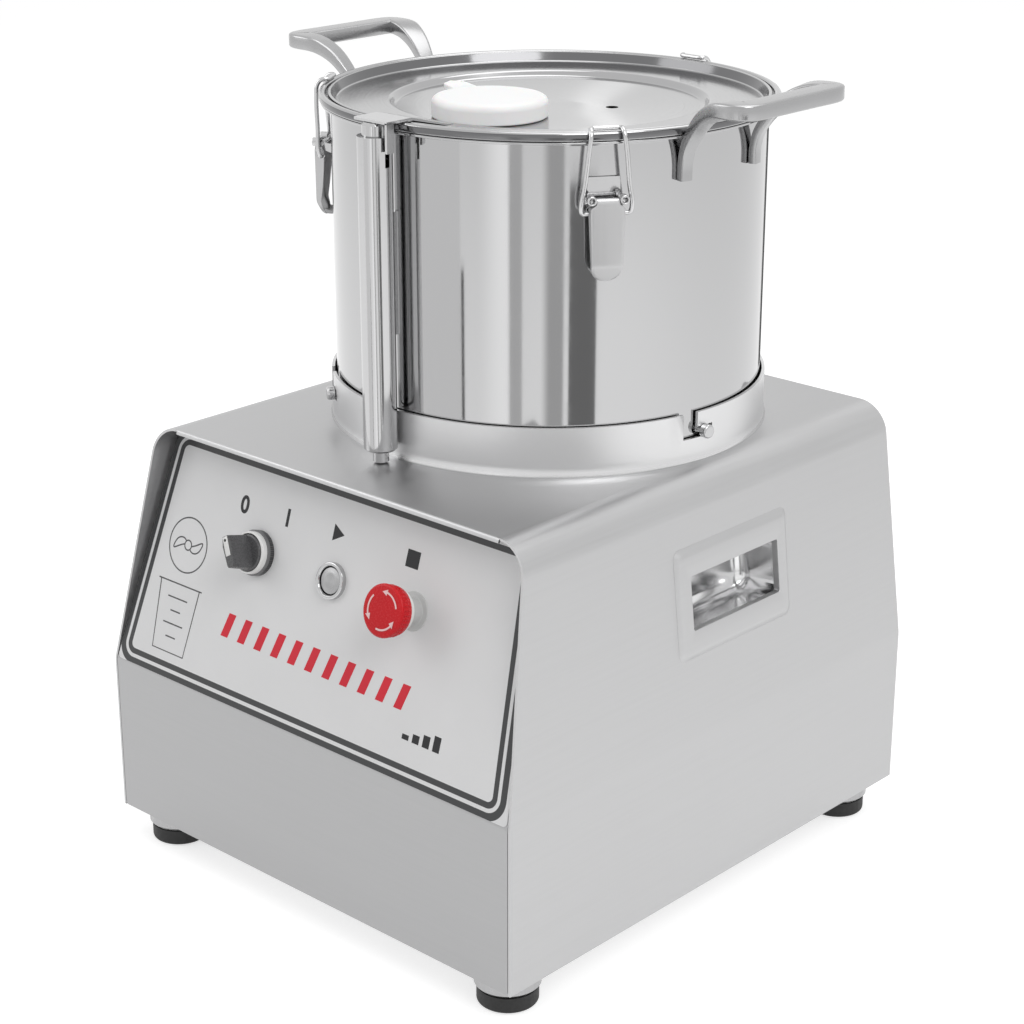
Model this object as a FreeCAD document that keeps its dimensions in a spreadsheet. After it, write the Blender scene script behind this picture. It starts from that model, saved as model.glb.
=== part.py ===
import FreeCAD, Part
import Sketcher
import math
import os
import re

# Food cutter mixer: a folded steel casing with the motor inside, and a bowl locked into a collar on top.
# Millimetres. The floor is z = 0, the front faces -Y and the origin is under the middle of the casing.

doc = FreeCAD.newDocument("FoodCutterMixer")
spec = doc.addObject("Spreadsheet::Sheet", "Spec")

sizes = [
    # casing
    ("casingWidth", 340, "casing across its foot"),
    ("casingDepth", 370, "casing front to back"),
    ("casingHeight", 255.4, "casing bottom to its top sheet"),
    ("creaseHeight", 103, "casing bottom to the crease where the sides start to slant"),
    ("topWidth", 306, "top sheet across, at its sharp corners"),
    ("topFrontSetback", 30, "top sheet's front edge behind the foot's"),
    ("topBackSetback", 6, "top sheet's back edge ahead of the foot's"),
    ("sheet", 1.5, "casing sheet thickness"),
    ("bendRadius", 20, "outside radius of the cover's two long bends"),
    ("panelTilt", 17.8, "control panel from the vertical, degrees"),
    ("lipDrop", 3, "folded front lip of the top sheet"),
    ("lipNotch", 16, "lip's end in from the corner"),
    ("seam", 0.4, "gap between neighbouring casing sheets"),
    ("rearInset", 16, "rear panel ahead of the cover's back edge"),
    ("ventPitch", 11, "rear panel's air slots, row to row"),
    ("ventHigh", 4.5, "rear panel's air slots"),
    ("ventLong", 68, "rear panel's air slots"),
    ("ventAcross", 46, "rear panel's air slots, middle from the panel's"),
    ("ventLow", 8, "rear panel's lowest air slots above the crease"),
    ("trayFlange", 14, "turned-up edge of the base tray"),
    ("traySlotLong", 120, "air slots in the base tray"),
    ("traySlotWide", 6, "air slots in the base tray"),
    ("traySlotPitch", 20, "air slots in the base tray"),
    ("footHeight", 22, "floor to casing bottom"),
    ("footInset", 25, "foot axis in from the casing's sides"),
    ("cupRadius", 19.5, "steel foot cup"),
    ("padRadius", 18, "rubber foot pad"),
    ("padHeight", 10, "rubber foot pad"),
    ("cupChamfer", 2.5, "steel foot cup's lower edge"),
    ("padRound", 2, "rubber foot pad's lower edge"),
    # grips in the sides
    ("gripBack", 18, "grip's middle behind the casing's middle"),
    ("gripHeight", 184.5, "grip's middle above the casing bottom"),
    ("gripFrameLength", 106, "raised frame"),
    ("gripFrameHeight", 68, "raised frame"),
    ("gripProud", 2.6, "raised frame off the side"),
    ("gripLength", 82, "hand opening"),
    ("gripOpening", 33, "hand opening"),
    ("gripDepth", 30, "pocket behind the opening"),
    ("gripWall", 1.2, "pocket wall"),
    ("gripRound", 12, "pocket's inside corner"),
    ("gripFrameRound", 5, "raised frame's corners"),
    # control panel
    ("filmLow", 1.5, "film's lower edge above the crease, along the panel"),
    ("filmHigh", 151, "film's upper edge above the crease, along the panel"),
    ("filmMargin", 2.5, "film's ends in from the panel's"),
    ("filmRound", 8, "film's upper corners"),
    ("film", 0.4, "film thickness"),
    ("controlHeight", 96, "row of controls above the crease, along the panel"),
    ("selectorAcross", -62, "selector switch from the panel's middle"),
    ("startAcross", 2.9, "start button from the panel's middle"),
    ("stopAcross", 69, "stop button from the panel's middle"),
    ("selectorRadius", 13.8, "selector's foot ring"),
    ("selectorFoot", 3, "selector's foot ring height"),
    ("selectorRing", 12.9, "selector's pale ring radius"),
    ("selectorProud", 9, "selector's pale ring off the panel"),
    ("knobRadius", 11.2, "selector knob"),
    ("knobReach", 25, "selector's finger bar off the panel"),
    ("knobBar", 8, "finger bar across"),
    ("knobBarLength", 20.5, "finger bar along"),
    ("knobRest", 32, "knob pointer from upright, degrees"),
    ("barrelRadius", 10.6, "threaded barrels behind the panel"),
    ("barrelDepth", 24, "threaded barrels behind the panel"),
    ("startRadius", 11, "start button's ring"),
    ("startButtonRadius", 8.2, "start button"),
    ("startProud", 3.6, "start button's ring off the panel"),
    ("startTravel", 2.5, "start button's stroke"),
    ("stopRadius", 15.3, "stop button's head"),
    ("stopFoot", 13.6, "stop button's foot ring radius"),
    ("stopFootHeight", 11, "stop button's foot ring off the panel"),
    ("stopHead", 9.5, "stop button's head, front to back"),
    ("stopReach", 26, "stop button off the panel"),
    ("stopTravel", 4, "stop button's stroke"),
    ("stemRadius", 6, "stop button's stem"),
    ("blockWidth", 30, "contact blocks"),
    ("blockHeight", 34, "contact blocks"),
    ("blockDepth", 26, "contact blocks"),
    # collar and bowl, heights above the top sheet
    ("bowlBack", 33, "bowl axis behind the casing's middle"),
    ("collarRadius", 134, "collar outside"),
    ("collarWall", 1.8, "collar"),
    ("collarHeight", 29.7, "collar"),
    ("collarFlare", 3.5, "collar's flared foot"),
    ("bowlRadius", 131, "bowl outside"),
    ("bowlWall", 1.5, "bowl"),
    ("bowlFloor", 2, "bowl floor"),
    ("bowlHeight", 194.1, "top sheet to the bowl's flange"),
    ("flangeWidth", 5.6, "bowl's flange outside its wall"),
    ("floorRound", 8, "bowl's lower corner"),
    ("running", 0.3, "gap between pieces that move on each other"),
    ("studHeight", 17.5, "bayonet stud above the top sheet"),
    ("studRadius", 2.8, "bayonet stud"),
    ("studHead", 4.2, "bayonet stud's head radius"),
    ("studHeadLength", 4.6, "bayonet stud's head"),
    ("studAngle", -5.2, "stud round the bowl from +X, degrees"),
    ("slotAngle", 4.6, "open slot before the stud, degrees"),
    ("slotEnd", 3, "closed end after the stud, degrees"),
    ("slotWidth", 10.8, "open slot"),
    ("slotHeight", 6.6, "locking leg of the slot"),
    ("chimneyRadius", 16, "tube round the shaft, in the bowl"),
    ("chimneyWall", 2, "tube round the shaft, in the bowl"),
    ("chimneyHeight", 70, "tube round the shaft, above the top sheet"),
    # handles
    ("handleSpread", 13.8, "handle legs from the handle's middle, degrees"),
    ("handleFoot", 168, "handle feet above the top sheet"),
    ("handleTop", 218, "handle's bar above the top sheet"),
    ("handleReach", 185, "bar's outer edge from the bowl axis"),
    ("handleBar", 15, "bar across"),
    ("handleBarHeight", 10.5, "bar thickness"),
    ("handleLength", 93, "bar along"),
    ("legThick", 5.4, "handle leg's foot, radially"),
    ("legWidth", 7.4, "handle leg, across"),
    ("legClear", 1.4, "handle legs outside the lid's rolled edge"),
    ("legRise", 26, "upright part of the leg's outer curve"),
    ("legLevel", 22, "level part of the leg's outer curve"),
    ("shoulderRise", 12, "upright part of the leg's inner curve"),
    ("shoulderLevel", 20, "level part of the leg's inner curve"),
    ("handleSoft", 3, "bar's outer corners"),
    # lid
    ("rimRadius", 137.6, "lid's rolled edge outside"),
    ("rimWidth", 6.6, "lid's rolled edge"),
    ("rimTop", 199.7, "lid's rolled edge above the top sheet"),
    ("lidSheet", 1.2, "lid"),
    ("lidPlugGap", 0.6, "lid's step inside the bowl"),
    ("ledgeHeight", 192.4, "lid's flat ring above the top sheet, underside"),
    ("dishRadius", 95, "lid's sunken middle"),
    ("dishDepth", 3.8, "lid's sunken middle"),
    ("feedForward", 52, "feed opening ahead of the bowl axis"),
    ("feedRadius", 29, "feed opening"),
    ("capRadius", 34.2, "feed cap"),
    ("capHeight", 12.4, "feed cap off the lid"),
    ("capPlug", 6, "feed cap inside the lid"),
    ("ventAngle", 26.6, "small hole round the lid from +X, degrees"),
    ("ventOut", 38.5, "small hole from the bowl axis"),
    ("ventRadius", 3.8, "small hole"),
    ("sealWidth", 2.4, "lid seal"),
    ("sealHeight", 2.6, "lid seal"),
    # safety rod at the bowl's front
    ("tubeOut", 145.4, "rod tube from the bowl axis"),
    ("tubeRadius", 10, "rod tube"),
    ("tubeBore", 7.6, "rod tube"),
    ("tubeLow", 8.5, "rod tube's end above the top sheet"),
    ("tubeSlot", 3.2, "slot in the rod tube for the lid tab's leg"),
    ("tubeSlotDepth", 17, "slot in the rod tube for the lid tab's leg"),
    ("rodRadius", 4, "safety rod"),
    ("rodHead", 7.2, "safety rod's head radius"),
    ("rodHeadLength", 14, "safety rod's head"),
    ("rodProud", 0.2, "safety rod's head above the lid's edge"),
    ("pinRadius", 4.75, "safety rod's foot"),
    ("springWire", 1.2, "rod spring"),
    ("springCoils", 6, "rod spring"),
    ("springLength", 34, "rod spring, pressed"),
    ("webLow", 75, "web under the rod tube, above the top sheet"),
    ("webHigh", 147, "web under the rod tube, above the top sheet"),
    ("webThick", 3, "web between tube and bowl"),
    ("tabThick", 1.6, "lid tab"),
    ("tabLeft", 12, "lid tab left of the rod"),
    ("tabRight", 14, "lid tab right of the rod"),
    ("tabLeg", 17, "lid tab's leg beside the tube"),
    # latches, heights above the top sheet
    ("frontLatchAngle", -35, "latch round the bowl from +X, degrees"),
    ("leftLatchAngle", -148, "latch round the bowl from +X, degrees"),
    ("backLatchAngle", 90, "latch round the bowl from +X, degrees"),
    ("leverPivotHeight", 162, "lever pivot"),
    ("leverPivotOut", 8.5, "lever pivot off the bowl wall"),
    ("leverPin", 1.5, "lever pin radius"),
    ("leverWidth", 22.6, "lever"),
    ("leverTipWidth", 17, "lever"),
    ("leverThick", 1.2, "lever sheet"),
    ("leverLow", 45, "lever's tip under its pivot"),
    ("leverHigh", 3.4, "lever's top over its pivot"),
    ("leverFlange", 6.4, "lever's side flanges"),
    ("leverFlangeLow", 14, "lever's side flanges under the pivot"),
    ("bracketWidth", 19, "latch bracket's ears, outside"),
    ("bracketSheet", 1.2, "latch bracket"),
    ("earRound", 2.8, "latch bracket's ears round the lever pin"),
    ("bracketLow", 9, "latch bracket under the lever pivot"),
    ("bracketHigh", 12, "latch bracket over the lever pivot"),
    ("bailDrop", 7, "bail pivot under the lever pivot"),
    ("bailIn", 1, "bail pivot inside the lever pivot"),
    ("bailWire", 1.35, "bail wire radius"),
    ("bailBar", 17.5, "bail's top bar"),
    ("bailWide", 27.6, "bail across its wide part"),
    ("bailCrest", 134.6, "bail's top bar from the bowl axis"),
    ("bailBulge", 141.4, "bail's wires outside the lid's edge, from the bowl axis"),
    # drive, heights above the top sheet unless said
    ("mountPlate", 5, "motor plate under the top sheet"),
    ("mountWidth", 196, "motor plate"),
    ("motorRadius", 72, "motor shell"),
    ("motorWall", 7, "motor shell"),
    ("motorLength", 108, "motor shell"),
    ("bellThick", 15, "motor end bells"),
    ("finHeight", 5, "motor cooling fins"),
    ("finCount", 20, "motor cooling fins"),
    ("statorBore", 40, "stator bore radius"),
    ("statorLength", 66, "stator"),
    ("windingLength", 12, "windings past the stator"),
    ("airGap", 0.5, "rotor to stator"),
    ("shaftRadius", 10, "motor shaft"),
    ("shaftTop", 84, "motor shaft above the top sheet"),
    ("hexLength", 14, "six-sided drive at the shaft's top"),
    ("shaftFit", 0.05, "hub on the shaft's six sides"),
    ("bearingRadius", 23.5, "bearing outside"),
    ("bearingWidth", 14, "bearing"),
    ("fanRadius", 58, "cooling fan"),
    ("fanWidth", 18, "cooling fan"),
    ("fanBlades", 7, "cooling fan"),
    ("cowlGap", 4, "fan cowl round the fan"),
    ("boltCircle", 84, "motor bolts' circle radius"),
    ("boltRadius", 4, "motor bolts"),
    ("sealRadius", 24, "shaft seal"),
    # knives
    ("hubRadius", 23, "knife hub"),
    ("hubGap", 0.8, "knife hub round the tube"),
    ("hubLow", 2.6, "knife hub above the bowl floor"),
    ("hubRoof", 14, "knife hub above the tube"),
    ("knifeReach", 121, "knife tips from the axis"),
    ("knifeThick", 2.5, "knives"),
    ("knifeLow", 4, "lower knife above the hub's foot"),
    ("knifeHigh", 38, "upper knife above the hub's foot"),
    ("knifeRing", 4, "knife's ring outside the hub"),
    ("nutHeight", 15, "knife nut"),
    # inside the casing
    ("capacitorRadius", 20, "run capacitor"),
    ("capacitorHeight", 84, "run capacitor"),
    ("capacitorAcross", 52, "run capacitor's axis in from the casing's right side"),
    ("capacitorBack", 96, "run capacitor's axis behind the casing's front"),
    ("contactorAcross", 66, "contactor's middle in from the casing's left side"),
    ("contactorBack", 92, "contactor's middle behind the casing's front"),
    ("contactorWidth", 48, "contactor"),
    ("contactorLength", 76, "contactor"),
    ("contactorDeck", 46, "contactor's terminals above the tray"),
    ("contactorTop", 22, "contactor's middle above its terminals"),
    ("terminalPitch", 15, "contactor's terminal screws"),
    ("terminalRadius", 3.2, "contactor's terminal screws"),
    ("sensorWidth", 26, "lid sensor"),
    ("sensorAhead", 3.5, "lid sensor ahead of the rod"),
    ("sensorBehind", 10.5, "lid sensor behind the rod"),
    ("sensorHeight", 9, "lid sensor under the top sheet"),
    ("glandRadius", 10, "cable gland"),
    ("glandLength", 12, "cable gland behind the rear panel"),
    ("glandHeight", 48, "cable gland above the casing bottom"),
    ("glandAcross", -110, "cable gland from the middle"),
    ("screwHead", 4, "screw head radius"),
    ("screwHeadHeight", 2.4, "screw head"),
]

aliases = set()
row = 0
for alias, size, meaning in sizes:
    row += 1
    spec.set("A%d" % row, meaning)
    spec.set("B%d" % row, str(size))
    spec.setAlias("B%d" % row, alias)
    aliases.add(alias)
doc.recompute()

# lengths worked out from the sheet, written once and used in many places
tanSide = "((casingWidth - topWidth) / 2 / (casingHeight - creaseHeight))"
cosSide = "cos(atan(%s))" % tanSide
tanFront = "(topFrontSetback / (casingHeight - creaseHeight))"
tanBack = "(topBackSetback / (casingHeight - creaseHeight))"
topSheet = "(footHeight + casingHeight)"
plateUnder = "(casingHeight - sheet - mountPlate)"
tubeHigh = "(bowlHeight - bowlWall - running)"
motorLow = "(%s - 2 * bellThick - motorLength)" % plateUnder


def onSheet(text):
    return re.sub(r"[A-Za-z]+", lambda word: "Spec." + word[0] if word[0] in aliases else word[0], str(text))


def size(text):
    return float(spec.evalExpression(str(text)))


def bind(owner, name, text):
    owner.setExpression(name, onSheet(text))


def newBody(label, x="0", y="0", z="0", turn=None):
    body = doc.addObject("PartDesign::Body", label)
    body.Label = label
    bind(body, "Placement.Base.x", x)
    bind(body, "Placement.Base.y", y)
    bind(body, "Placement.Base.z", z)
    if turn is not None:
        body.Placement.Rotation = FreeCAD.Rotation(FreeCAD.Vector(0, 0, 1), 1)
        bind(body, "Placement.Rotation.Angle", turn)
    return body


def draw(body, role, shapes, shift=("0", "0", "0"), axis=None, angle="0"):
    # a shape is a closed row of points, or (x, y, radius) for a circle, each number a text the sheet can work out
    origin = next(f for f in body.Origin.OriginFeatures if f.Role == role)
    sketch = body.newObject("Sketcher::SketchObject", body.Label + "_sketch")
    sketch.AttachmentSupport = (origin, [""])
    sketch.MapMode = "FlatFace"
    if axis:
        sketch.AttachmentOffset = FreeCAD.Placement(FreeCAD.Vector(), FreeCAD.Rotation(FreeCAD.Vector(*axis), 1))
        bind(sketch, "AttachmentOffset.Rotation.Angle", angle)
    for name, text in zip("xyz", shift):
        if text != "0":
            bind(sketch, "AttachmentOffset.Base." + name, text)
    for shape in shapes:
        first = sketch.GeometryCount
        if isinstance(shape, tuple):
            x, y, radius = shape
            centre = FreeCAD.Vector(size(x), size(y), 0)
            sketch.addGeometry(Part.Circle(centre, FreeCAD.Vector(0, 0, 1), size(radius)), False)
            pin(sketch, first, 3, x, y)
            held = sketch.addConstraint(Sketcher.Constraint("Radius", first, size(radius)))
            bind(sketch, "Constraints[%d]" % held, radius)
            continue
        spots = [FreeCAD.Vector(size(x), size(y), 0) for x, y in shape]
        count = len(shape)
        for i in range(count):
            sketch.addGeometry(Part.LineSegment(spots[i], spots[(i + 1) % count]), False)
        for i in range(count):
            sketch.addConstraint(Sketcher.Constraint("Coincident", first + i, 2, first + (i + 1) % count, 1))
        for i, (x, y) in enumerate(shape):
            pin(sketch, first + i, 1, x, y)
    return sketch


def pin(sketch, line, end, x, y):
    for way, text in (("DistanceX", x), ("DistanceY", y)):
        held = sketch.addConstraint(Sketcher.Constraint(way, -1, 1, line, end, size(text)))
        bind(sketch, "Constraints[%d]" % held, text)


def pad(body, sketch, length, way="One side", back=False):
    made = body.newObject("PartDesign::Pad", body.Label + "_pad")
    made.Profile = sketch
    made.SideType = way
    made.Reversed = back
    bind(made, "Length", length)
    doc.recompute()
    return made


def pocket(body, sketch, length=None, way="One side", back=False):
    made = body.newObject("PartDesign::Pocket", body.Label + "_pocket")
    made.Profile = sketch
    made.SideType = way
    made.Reversed = back
    if length is None:
        made.Type = "ThroughAll"
    else:
        bind(made, "Length", length)
    before = made.BaseFeature.Shape.Volume
    doc.recompute()
    if made.Shape.Volume > before - 1e-3:
        raise ValueError("%s cuts nothing" % made.Name)
    return made


def spin(body, sketch):
    made = body.newObject("PartDesign::Revolution", body.Label + "_revolution")
    made.Profile = sketch
    made.ReferenceAxis = (sketch, ["V_Axis"])
    made.Angle = 360
    doc.recompute()
    return made


def turned(label, points, x="0", y="0", z="0", turn=None):
    body = newBody(label, x, y, z, turn)
    spin(body, draw(body, "XZ_Plane", [points]))
    return body


def soften(body, radius, wanted, kind="Fillet"):
    # wanted(edge) picks the edges by where they lie
    base = body.Tip
    names = ["Edge%d" % (i + 1) for i, edge in enumerate(base.Shape.Edges) if wanted(edge)]
    if not names:
        raise ValueError("no edge to soften on %s" % body.Label)
    made = body.newObject("PartDesign::" + kind, body.Label + "_" + kind.lower())
    made.Base = (base, names)
    bind(made, "Radius" if kind == "Fillet" else "Size", radius)
    doc.recompute()
    return made


def around(body, features, count):
    made = body.newObject("PartDesign::PolarPattern", body.Label + "_pattern")
    made.Originals = features
    made.Axis = (next(f for f in body.Origin.OriginFeatures if f.Role == "Z_Axis"), [""])
    made.Angle = 360
    bind(made, "Occurrences", count)
    body.Tip = made
    doc.recompute()
    return made


def box(xs, ys):
    return [(xs[0], ys[0]), (xs[1], ys[0]), (xs[1], ys[1]), (xs[0], ys[1])]


def middle(edge):
    return edge.valueAt((edge.FirstParameter + edge.LastParameter) / 2)


def near(a, b, slack=0.05):
    return abs(a - b) < slack


# The casing

def sideOutline(inset, high, foot):
    # the casing's outline seen from the front, inset from the outer faces, between two heights
    across = "casingWidth / 2 - (%s)" % inset
    crease = "creaseHeight - (%s) * tan(atan(%s) / 2)" % (inset, tanSide)
    top = "casingWidth / 2 - (%s - creaseHeight) * %s - (%s) / %s" % (high, tanSide, inset, cosSide)
    return [(across, foot), (across, crease), (top, high), ("-(%s)" % top, high), ("-(%s)" % across, crease),
            ("-(%s)" % across, foot)]


def housingCover():
    body = newBody("housing_cover", z="footHeight")
    pad(body, draw(body, "XZ_Plane", [sideOutline("0", "casingHeight", "0")]), "casingDepth", "Symmetric")
    top = size("casingHeight")
    inside = sideOutline("sheet", "casingHeight - sheet", "-1")
    pocket(body, draw(body, "XZ_Plane", [inside]), None, "Symmetric")
    corner = size(inside[2][0])
    soften(body, "bendRadius - sheet", lambda e: near(middle(e).z, top - size("sheet"))
           and near(abs(middle(e).x), corner) and e.Length > 100)
    soften(body, "bendRadius", lambda e: near(middle(e).z, top) and near(abs(middle(e).x), size("topWidth / 2"))
           and e.Length > 100)
    front = [("-casingDepth / 2", "creaseHeight"), ("-casingDepth / 2 + topFrontSetback", "casingHeight"),
             ("-casingDepth / 2 + topFrontSetback", "casingHeight + 1"), ("-casingDepth / 2 - 1", "casingHeight + 1"),
             ("-casingDepth / 2 - 1", "creaseHeight")]
    back = [("casingDepth / 2", "creaseHeight"), ("casingDepth / 2 + 1", "creaseHeight"),
            ("casingDepth / 2 + 1", "casingHeight + 1"), ("casingDepth / 2 - topBackSetback", "casingHeight + 1"),
            ("casingDepth / 2 - topBackSetback", "casingHeight")]
    pocket(body, draw(body, "YZ_Plane", [front]), None, "Symmetric")
    pocket(body, draw(body, "YZ_Plane", [back]), None, "Symmetric")
    edge = "-casingDepth / 2 + topFrontSetback"
    lip = [(edge, "casingHeight"), ("%s - lipDrop * %s" % (edge, tanFront), "casingHeight - lipDrop"),
           ("%s - lipDrop * %s + sheet" % (edge, tanFront), "casingHeight - lipDrop"),
           ("%s + sheet" % edge, "casingHeight - sheet / 2"), ("%s + sheet" % edge, "casingHeight")]
    pad(body, draw(body, "YZ_Plane", [lip]), "topWidth - 2 * lipNotch", "Symmetric")
    hand = box(("gripBack - gripLength / 2 - gripWall - seam", "gripBack + gripLength / 2 + gripWall + seam"),
               ("gripHeight - gripOpening / 2 - gripWall - seam", "gripHeight + gripOpening / 2 + gripWall + seam"))
    pocket(body, draw(body, "YZ_Plane", [hand]), None, "Symmetric")
    pocket(body, draw(body, "XY_Plane", [("0", "bowlBack", "sealRadius + seam")]), "casingHeight + 1", back=True)


def bendPoints(inset):
    # along the cover's right-hand bend, inset from its outer face, from the slanted side up to the flat top
    lean = "atan(%s)" % tanSide
    acrossMiddle = "casingWidth / 2 - (casingHeight - bendRadius - creaseHeight) * %s - bendRadius / %s" % (
        tanSide, cosSide)
    points = []
    for i in range(6):
        turn = "%s + (90 deg - %s) * %d / 5" % (lean, lean, i)
        points.append(("%s + (bendRadius - (%s)) * cos(%s)" % (acrossMiddle, inset, turn),
                       "casingHeight - bendRadius + (bendRadius - (%s)) * sin(%s)" % (inset, turn)))
    return points


def frontPanel():
    body = newBody("front_panel", z="footHeight")
    high = "casingHeight - sheet - seam"
    run = "tan(panelTilt)"
    face = "-casingDepth / 2"
    outline = [(face, "seam"), (face, "creaseHeight"),
               ("%s + (%s - creaseHeight) * %s" % (face, high, run), high),
               ("%s + (%s - creaseHeight) * %s + sheet / cos(panelTilt)" % (face, high, run), high),
               ("%s + sheet" % face, "creaseHeight - sheet * tan(panelTilt / 2)"), ("%s + sheet" % face, "seam")]
    pad(body, draw(body, "YZ_Plane", [outline]), "casingWidth", "Symmetric")
    foot, crease = sideOutline("sheet + seam", "casingHeight", "-1")[:2]
    edge = [foot, crease] + bendPoints("sheet + seam")
    edge += [(edge[-1][0], "casingHeight"), ("casingWidth", "casingHeight"), ("casingWidth", "-1")]
    for way in ("", "-"):
        pocket(body, draw(body, "XZ_Plane", [[("%s(%s)" % (way, x), z) for x, z in edge]]), None, "Symmetric")
    holes = [(across, "controlHeight", "barrelRadius + seam") for across in
             ("selectorAcross", "stopAcross")] + [("startAcross", "controlHeight", "startButtonRadius + seam")]
    pocket(body, draw(body, "XZ_Plane", holes, *panelPlane("sheet")), "3 * sheet")


def panelPlane(out):
    # the control panel's face as a sketch plane: x across, y up the slope, z out of the panel
    lift = "creaseHeight + (%s) * sin(panelTilt)" % out
    return (("0", lift, "casingDepth / 2 + (%s) * cos(panelTilt)" % out), (-1, 0, 0), "panelTilt")


def controlFilm():
    body = newBody("control_film", z="footHeight")
    low, high = ["(casingWidth / 2 - %s * cos(panelTilt) * %s - filmMargin)" % (up, tanSide)
                 for up in ("filmLow", "filmHigh")]
    outline = [("-" + low, "filmLow"), (low, "filmLow"), (high, "filmHigh"), ("-" + high, "filmHigh")]
    holes = [(across, "controlHeight", "barrelRadius + seam") for across in
             ("selectorAcross", "stopAcross")] + [("startAcross", "controlHeight", "startButtonRadius + seam")]
    pad(body, draw(body, "XZ_Plane", [outline] + holes, *panelPlane("0")), "film")
    top = size("creaseHeight + filmHigh * cos(panelTilt)")
    soften(body, "filmRound", lambda e: near(e.Length, size("film"), 0.01) and near(middle(e).z, top, 1))


def rearPanel():
    body = newBody("rear_panel", z="footHeight")
    outline = sideOutline("sheet + seam", "casingHeight - sheet - seam", "trayFlange + seam")
    sketch = draw(body, "XZ_Plane", [outline], ("0", "0", "-(casingDepth / 2 - rearInset)"))
    pad(body, sketch, "sheet")
    high = size("casingHeight - sheet - seam")
    soften(body, "bendRadius - sheet", lambda e: near(e.Length, size("sheet"), 0.01) and near(middle(e).z, high))
    cutBack = "-(casingDepth / 2 - rearInset + 2 * sheet)"
    slots = []
    for i in range(9):
        low = "creaseHeight + ventLow + %d * ventPitch" % i
        for side in (-1, 1):
            ends = ("%d * ventAcross - ventLong / 2" % side, "%d * ventAcross + ventLong / 2" % side)
            slots.append(box(ends, (low, "%s + ventHigh" % low)))
    pocket(body, draw(body, "XZ_Plane", slots, ("0", "0", cutBack)), "4 * sheet", back=True)
    pocket(body, draw(body, "XZ_Plane", [("glandAcross", "glandHeight", "glandRadius - 2")], ("0", "0", cutBack)),
           "4 * sheet", back=True)


def baseTray():
    body = newBody("base_tray", z="footHeight")
    wide = "(casingWidth / 2 - sheet - seam)"
    front = "(-casingDepth / 2 + sheet + seam)"
    back = "(casingDepth / 2 - sheet - seam)"
    pad(body, draw(body, "XY_Plane", [box(("-" + wide, wide), (front, back))]), "trayFlange")
    inner = box(("-%s + sheet" % wide, "%s - sheet" % wide), ("%s + sheet" % front, "%s - sheet" % back))
    pocket(body, draw(body, "XY_Plane", [inner], ("0", "0", "sheet")), "trayFlange", back=True)
    slots = []
    for i in range(5):
        near = "bowlBack + %d * traySlotPitch" % (i - 2)
        slots.append(box(("-traySlotLong / 2", "traySlotLong / 2"), (near, "%s + traySlotWide" % near)))
    pocket(body, draw(body, "XY_Plane", slots, ("0", "0", "-sheet")), "3 * sheet", back=True)


def footSpots(radius):
    across = "casingWidth / 2 - footInset"
    along = "casingDepth / 2 - footInset"
    return [("%d * (%s)" % (i, across), "%d * (%s)" % (j, along), radius) for i in (-1, 1) for j in (-1, 1)]


def feet():
    cups = newBody("foot_cups", z="padHeight")
    pad(cups, draw(cups, "XY_Plane", footSpots("cupRadius")), "footHeight - padHeight")
    soften(cups, "cupChamfer", lambda e: near(middle(e).z, 0), "Chamfer")
    pads = newBody("foot_pads")
    pad(pads, draw(pads, "XY_Plane", footSpots("padRadius")), "padHeight")
    soften(pads, "padRound", lambda e: near(middle(e).z, 0))


def gripPocket(label, turn, back):
    body = newBody(label, z="footHeight", turn=turn)

    def plane(out):
        # the slanted side as a sketch plane: x to the back, y up the slope, z out of the side
        foot = "casingWidth / 2 - (gripHeight - creaseHeight) * %s" % tanSide
        lift = "gripHeight + (%s) * sin(atan(%s))" % (out, tanSide)
        return ((back, lift, "%s + (%s) * %s" % (foot, out, cosSide)), (-1, 0, 0), "atan(%s)" % tanSide)

    def rectangle(length, height):
        return box(("-(%s) / 2" % length, "(%s) / 2" % length), ("-(%s) / 2" % height, "(%s) / 2" % height))
    pad(body, draw(body, "YZ_Plane", [rectangle("gripFrameLength", "gripFrameHeight")], *plane("0")), "gripProud")
    soften(body, "gripFrameRound", lambda e: near(e.Length, size("gripProud"), 0.01))
    outer = rectangle("gripLength + 2 * gripWall", "gripOpening + 2 * gripWall")
    pad(body, draw(body, "YZ_Plane", [outer], *plane("0")), "gripDepth", back=True)
    hollow = draw(body, "YZ_Plane", [rectangle("gripLength", "gripOpening")], *plane("gripProud"))
    pocket(body, hollow, "gripProud + gripDepth - gripWall")
    floor = size("casingWidth / 2 - (gripHeight - creaseHeight) * %s - gripDepth" % tanSide)
    soften(body, "gripRound - gripWall", lambda e: near(e.Length, size("gripLength"), 0.01)
           and near(middle(e).x, floor, 5))
    soften(body, "gripRound", lambda e: near(e.Length, size("gripLength + 2 * gripWall"), 0.01)
           and near(middle(e).x, floor, 5))


# The collar, the drive and what stands inside the casing

def bowlCollar():
    inner = "collarRadius - collarWall"
    body = turned("bowl_collar", [
        (inner, "0"), ("collarRadius + collarFlare", "0"), ("collarRadius + collarFlare", "1.2"),
        ("collarRadius + 1", "3"), ("collarRadius", "6"), ("collarRadius", "collarHeight"), (inner, "collarHeight")],
        y="bowlBack", z=topSheet, turn="studAngle")
    openLow = "collarRadius * sin(slotAngle) + slotWidth / 2"
    openHigh = "collarRadius * sin(slotAngle) - slotWidth / 2"
    low = "studHeight - slotHeight / 2"
    high = "studHeight + slotHeight / 2"
    over = "collarHeight + 1"
    closed = "collarRadius * sin(slotEnd)"
    outline = [("-(%s)" % openLow, low), (closed, low), (closed, high), ("-(%s)" % openHigh, high),
               ("-(%s)" % openHigh, over), ("-(%s)" % openLow, over)]
    cut = pocket(body, draw(body, "YZ_Plane", [outline], ("0", "0", "collarRadius - 20")), "40", back=True)
    around(body, [cut], "3")


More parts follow.
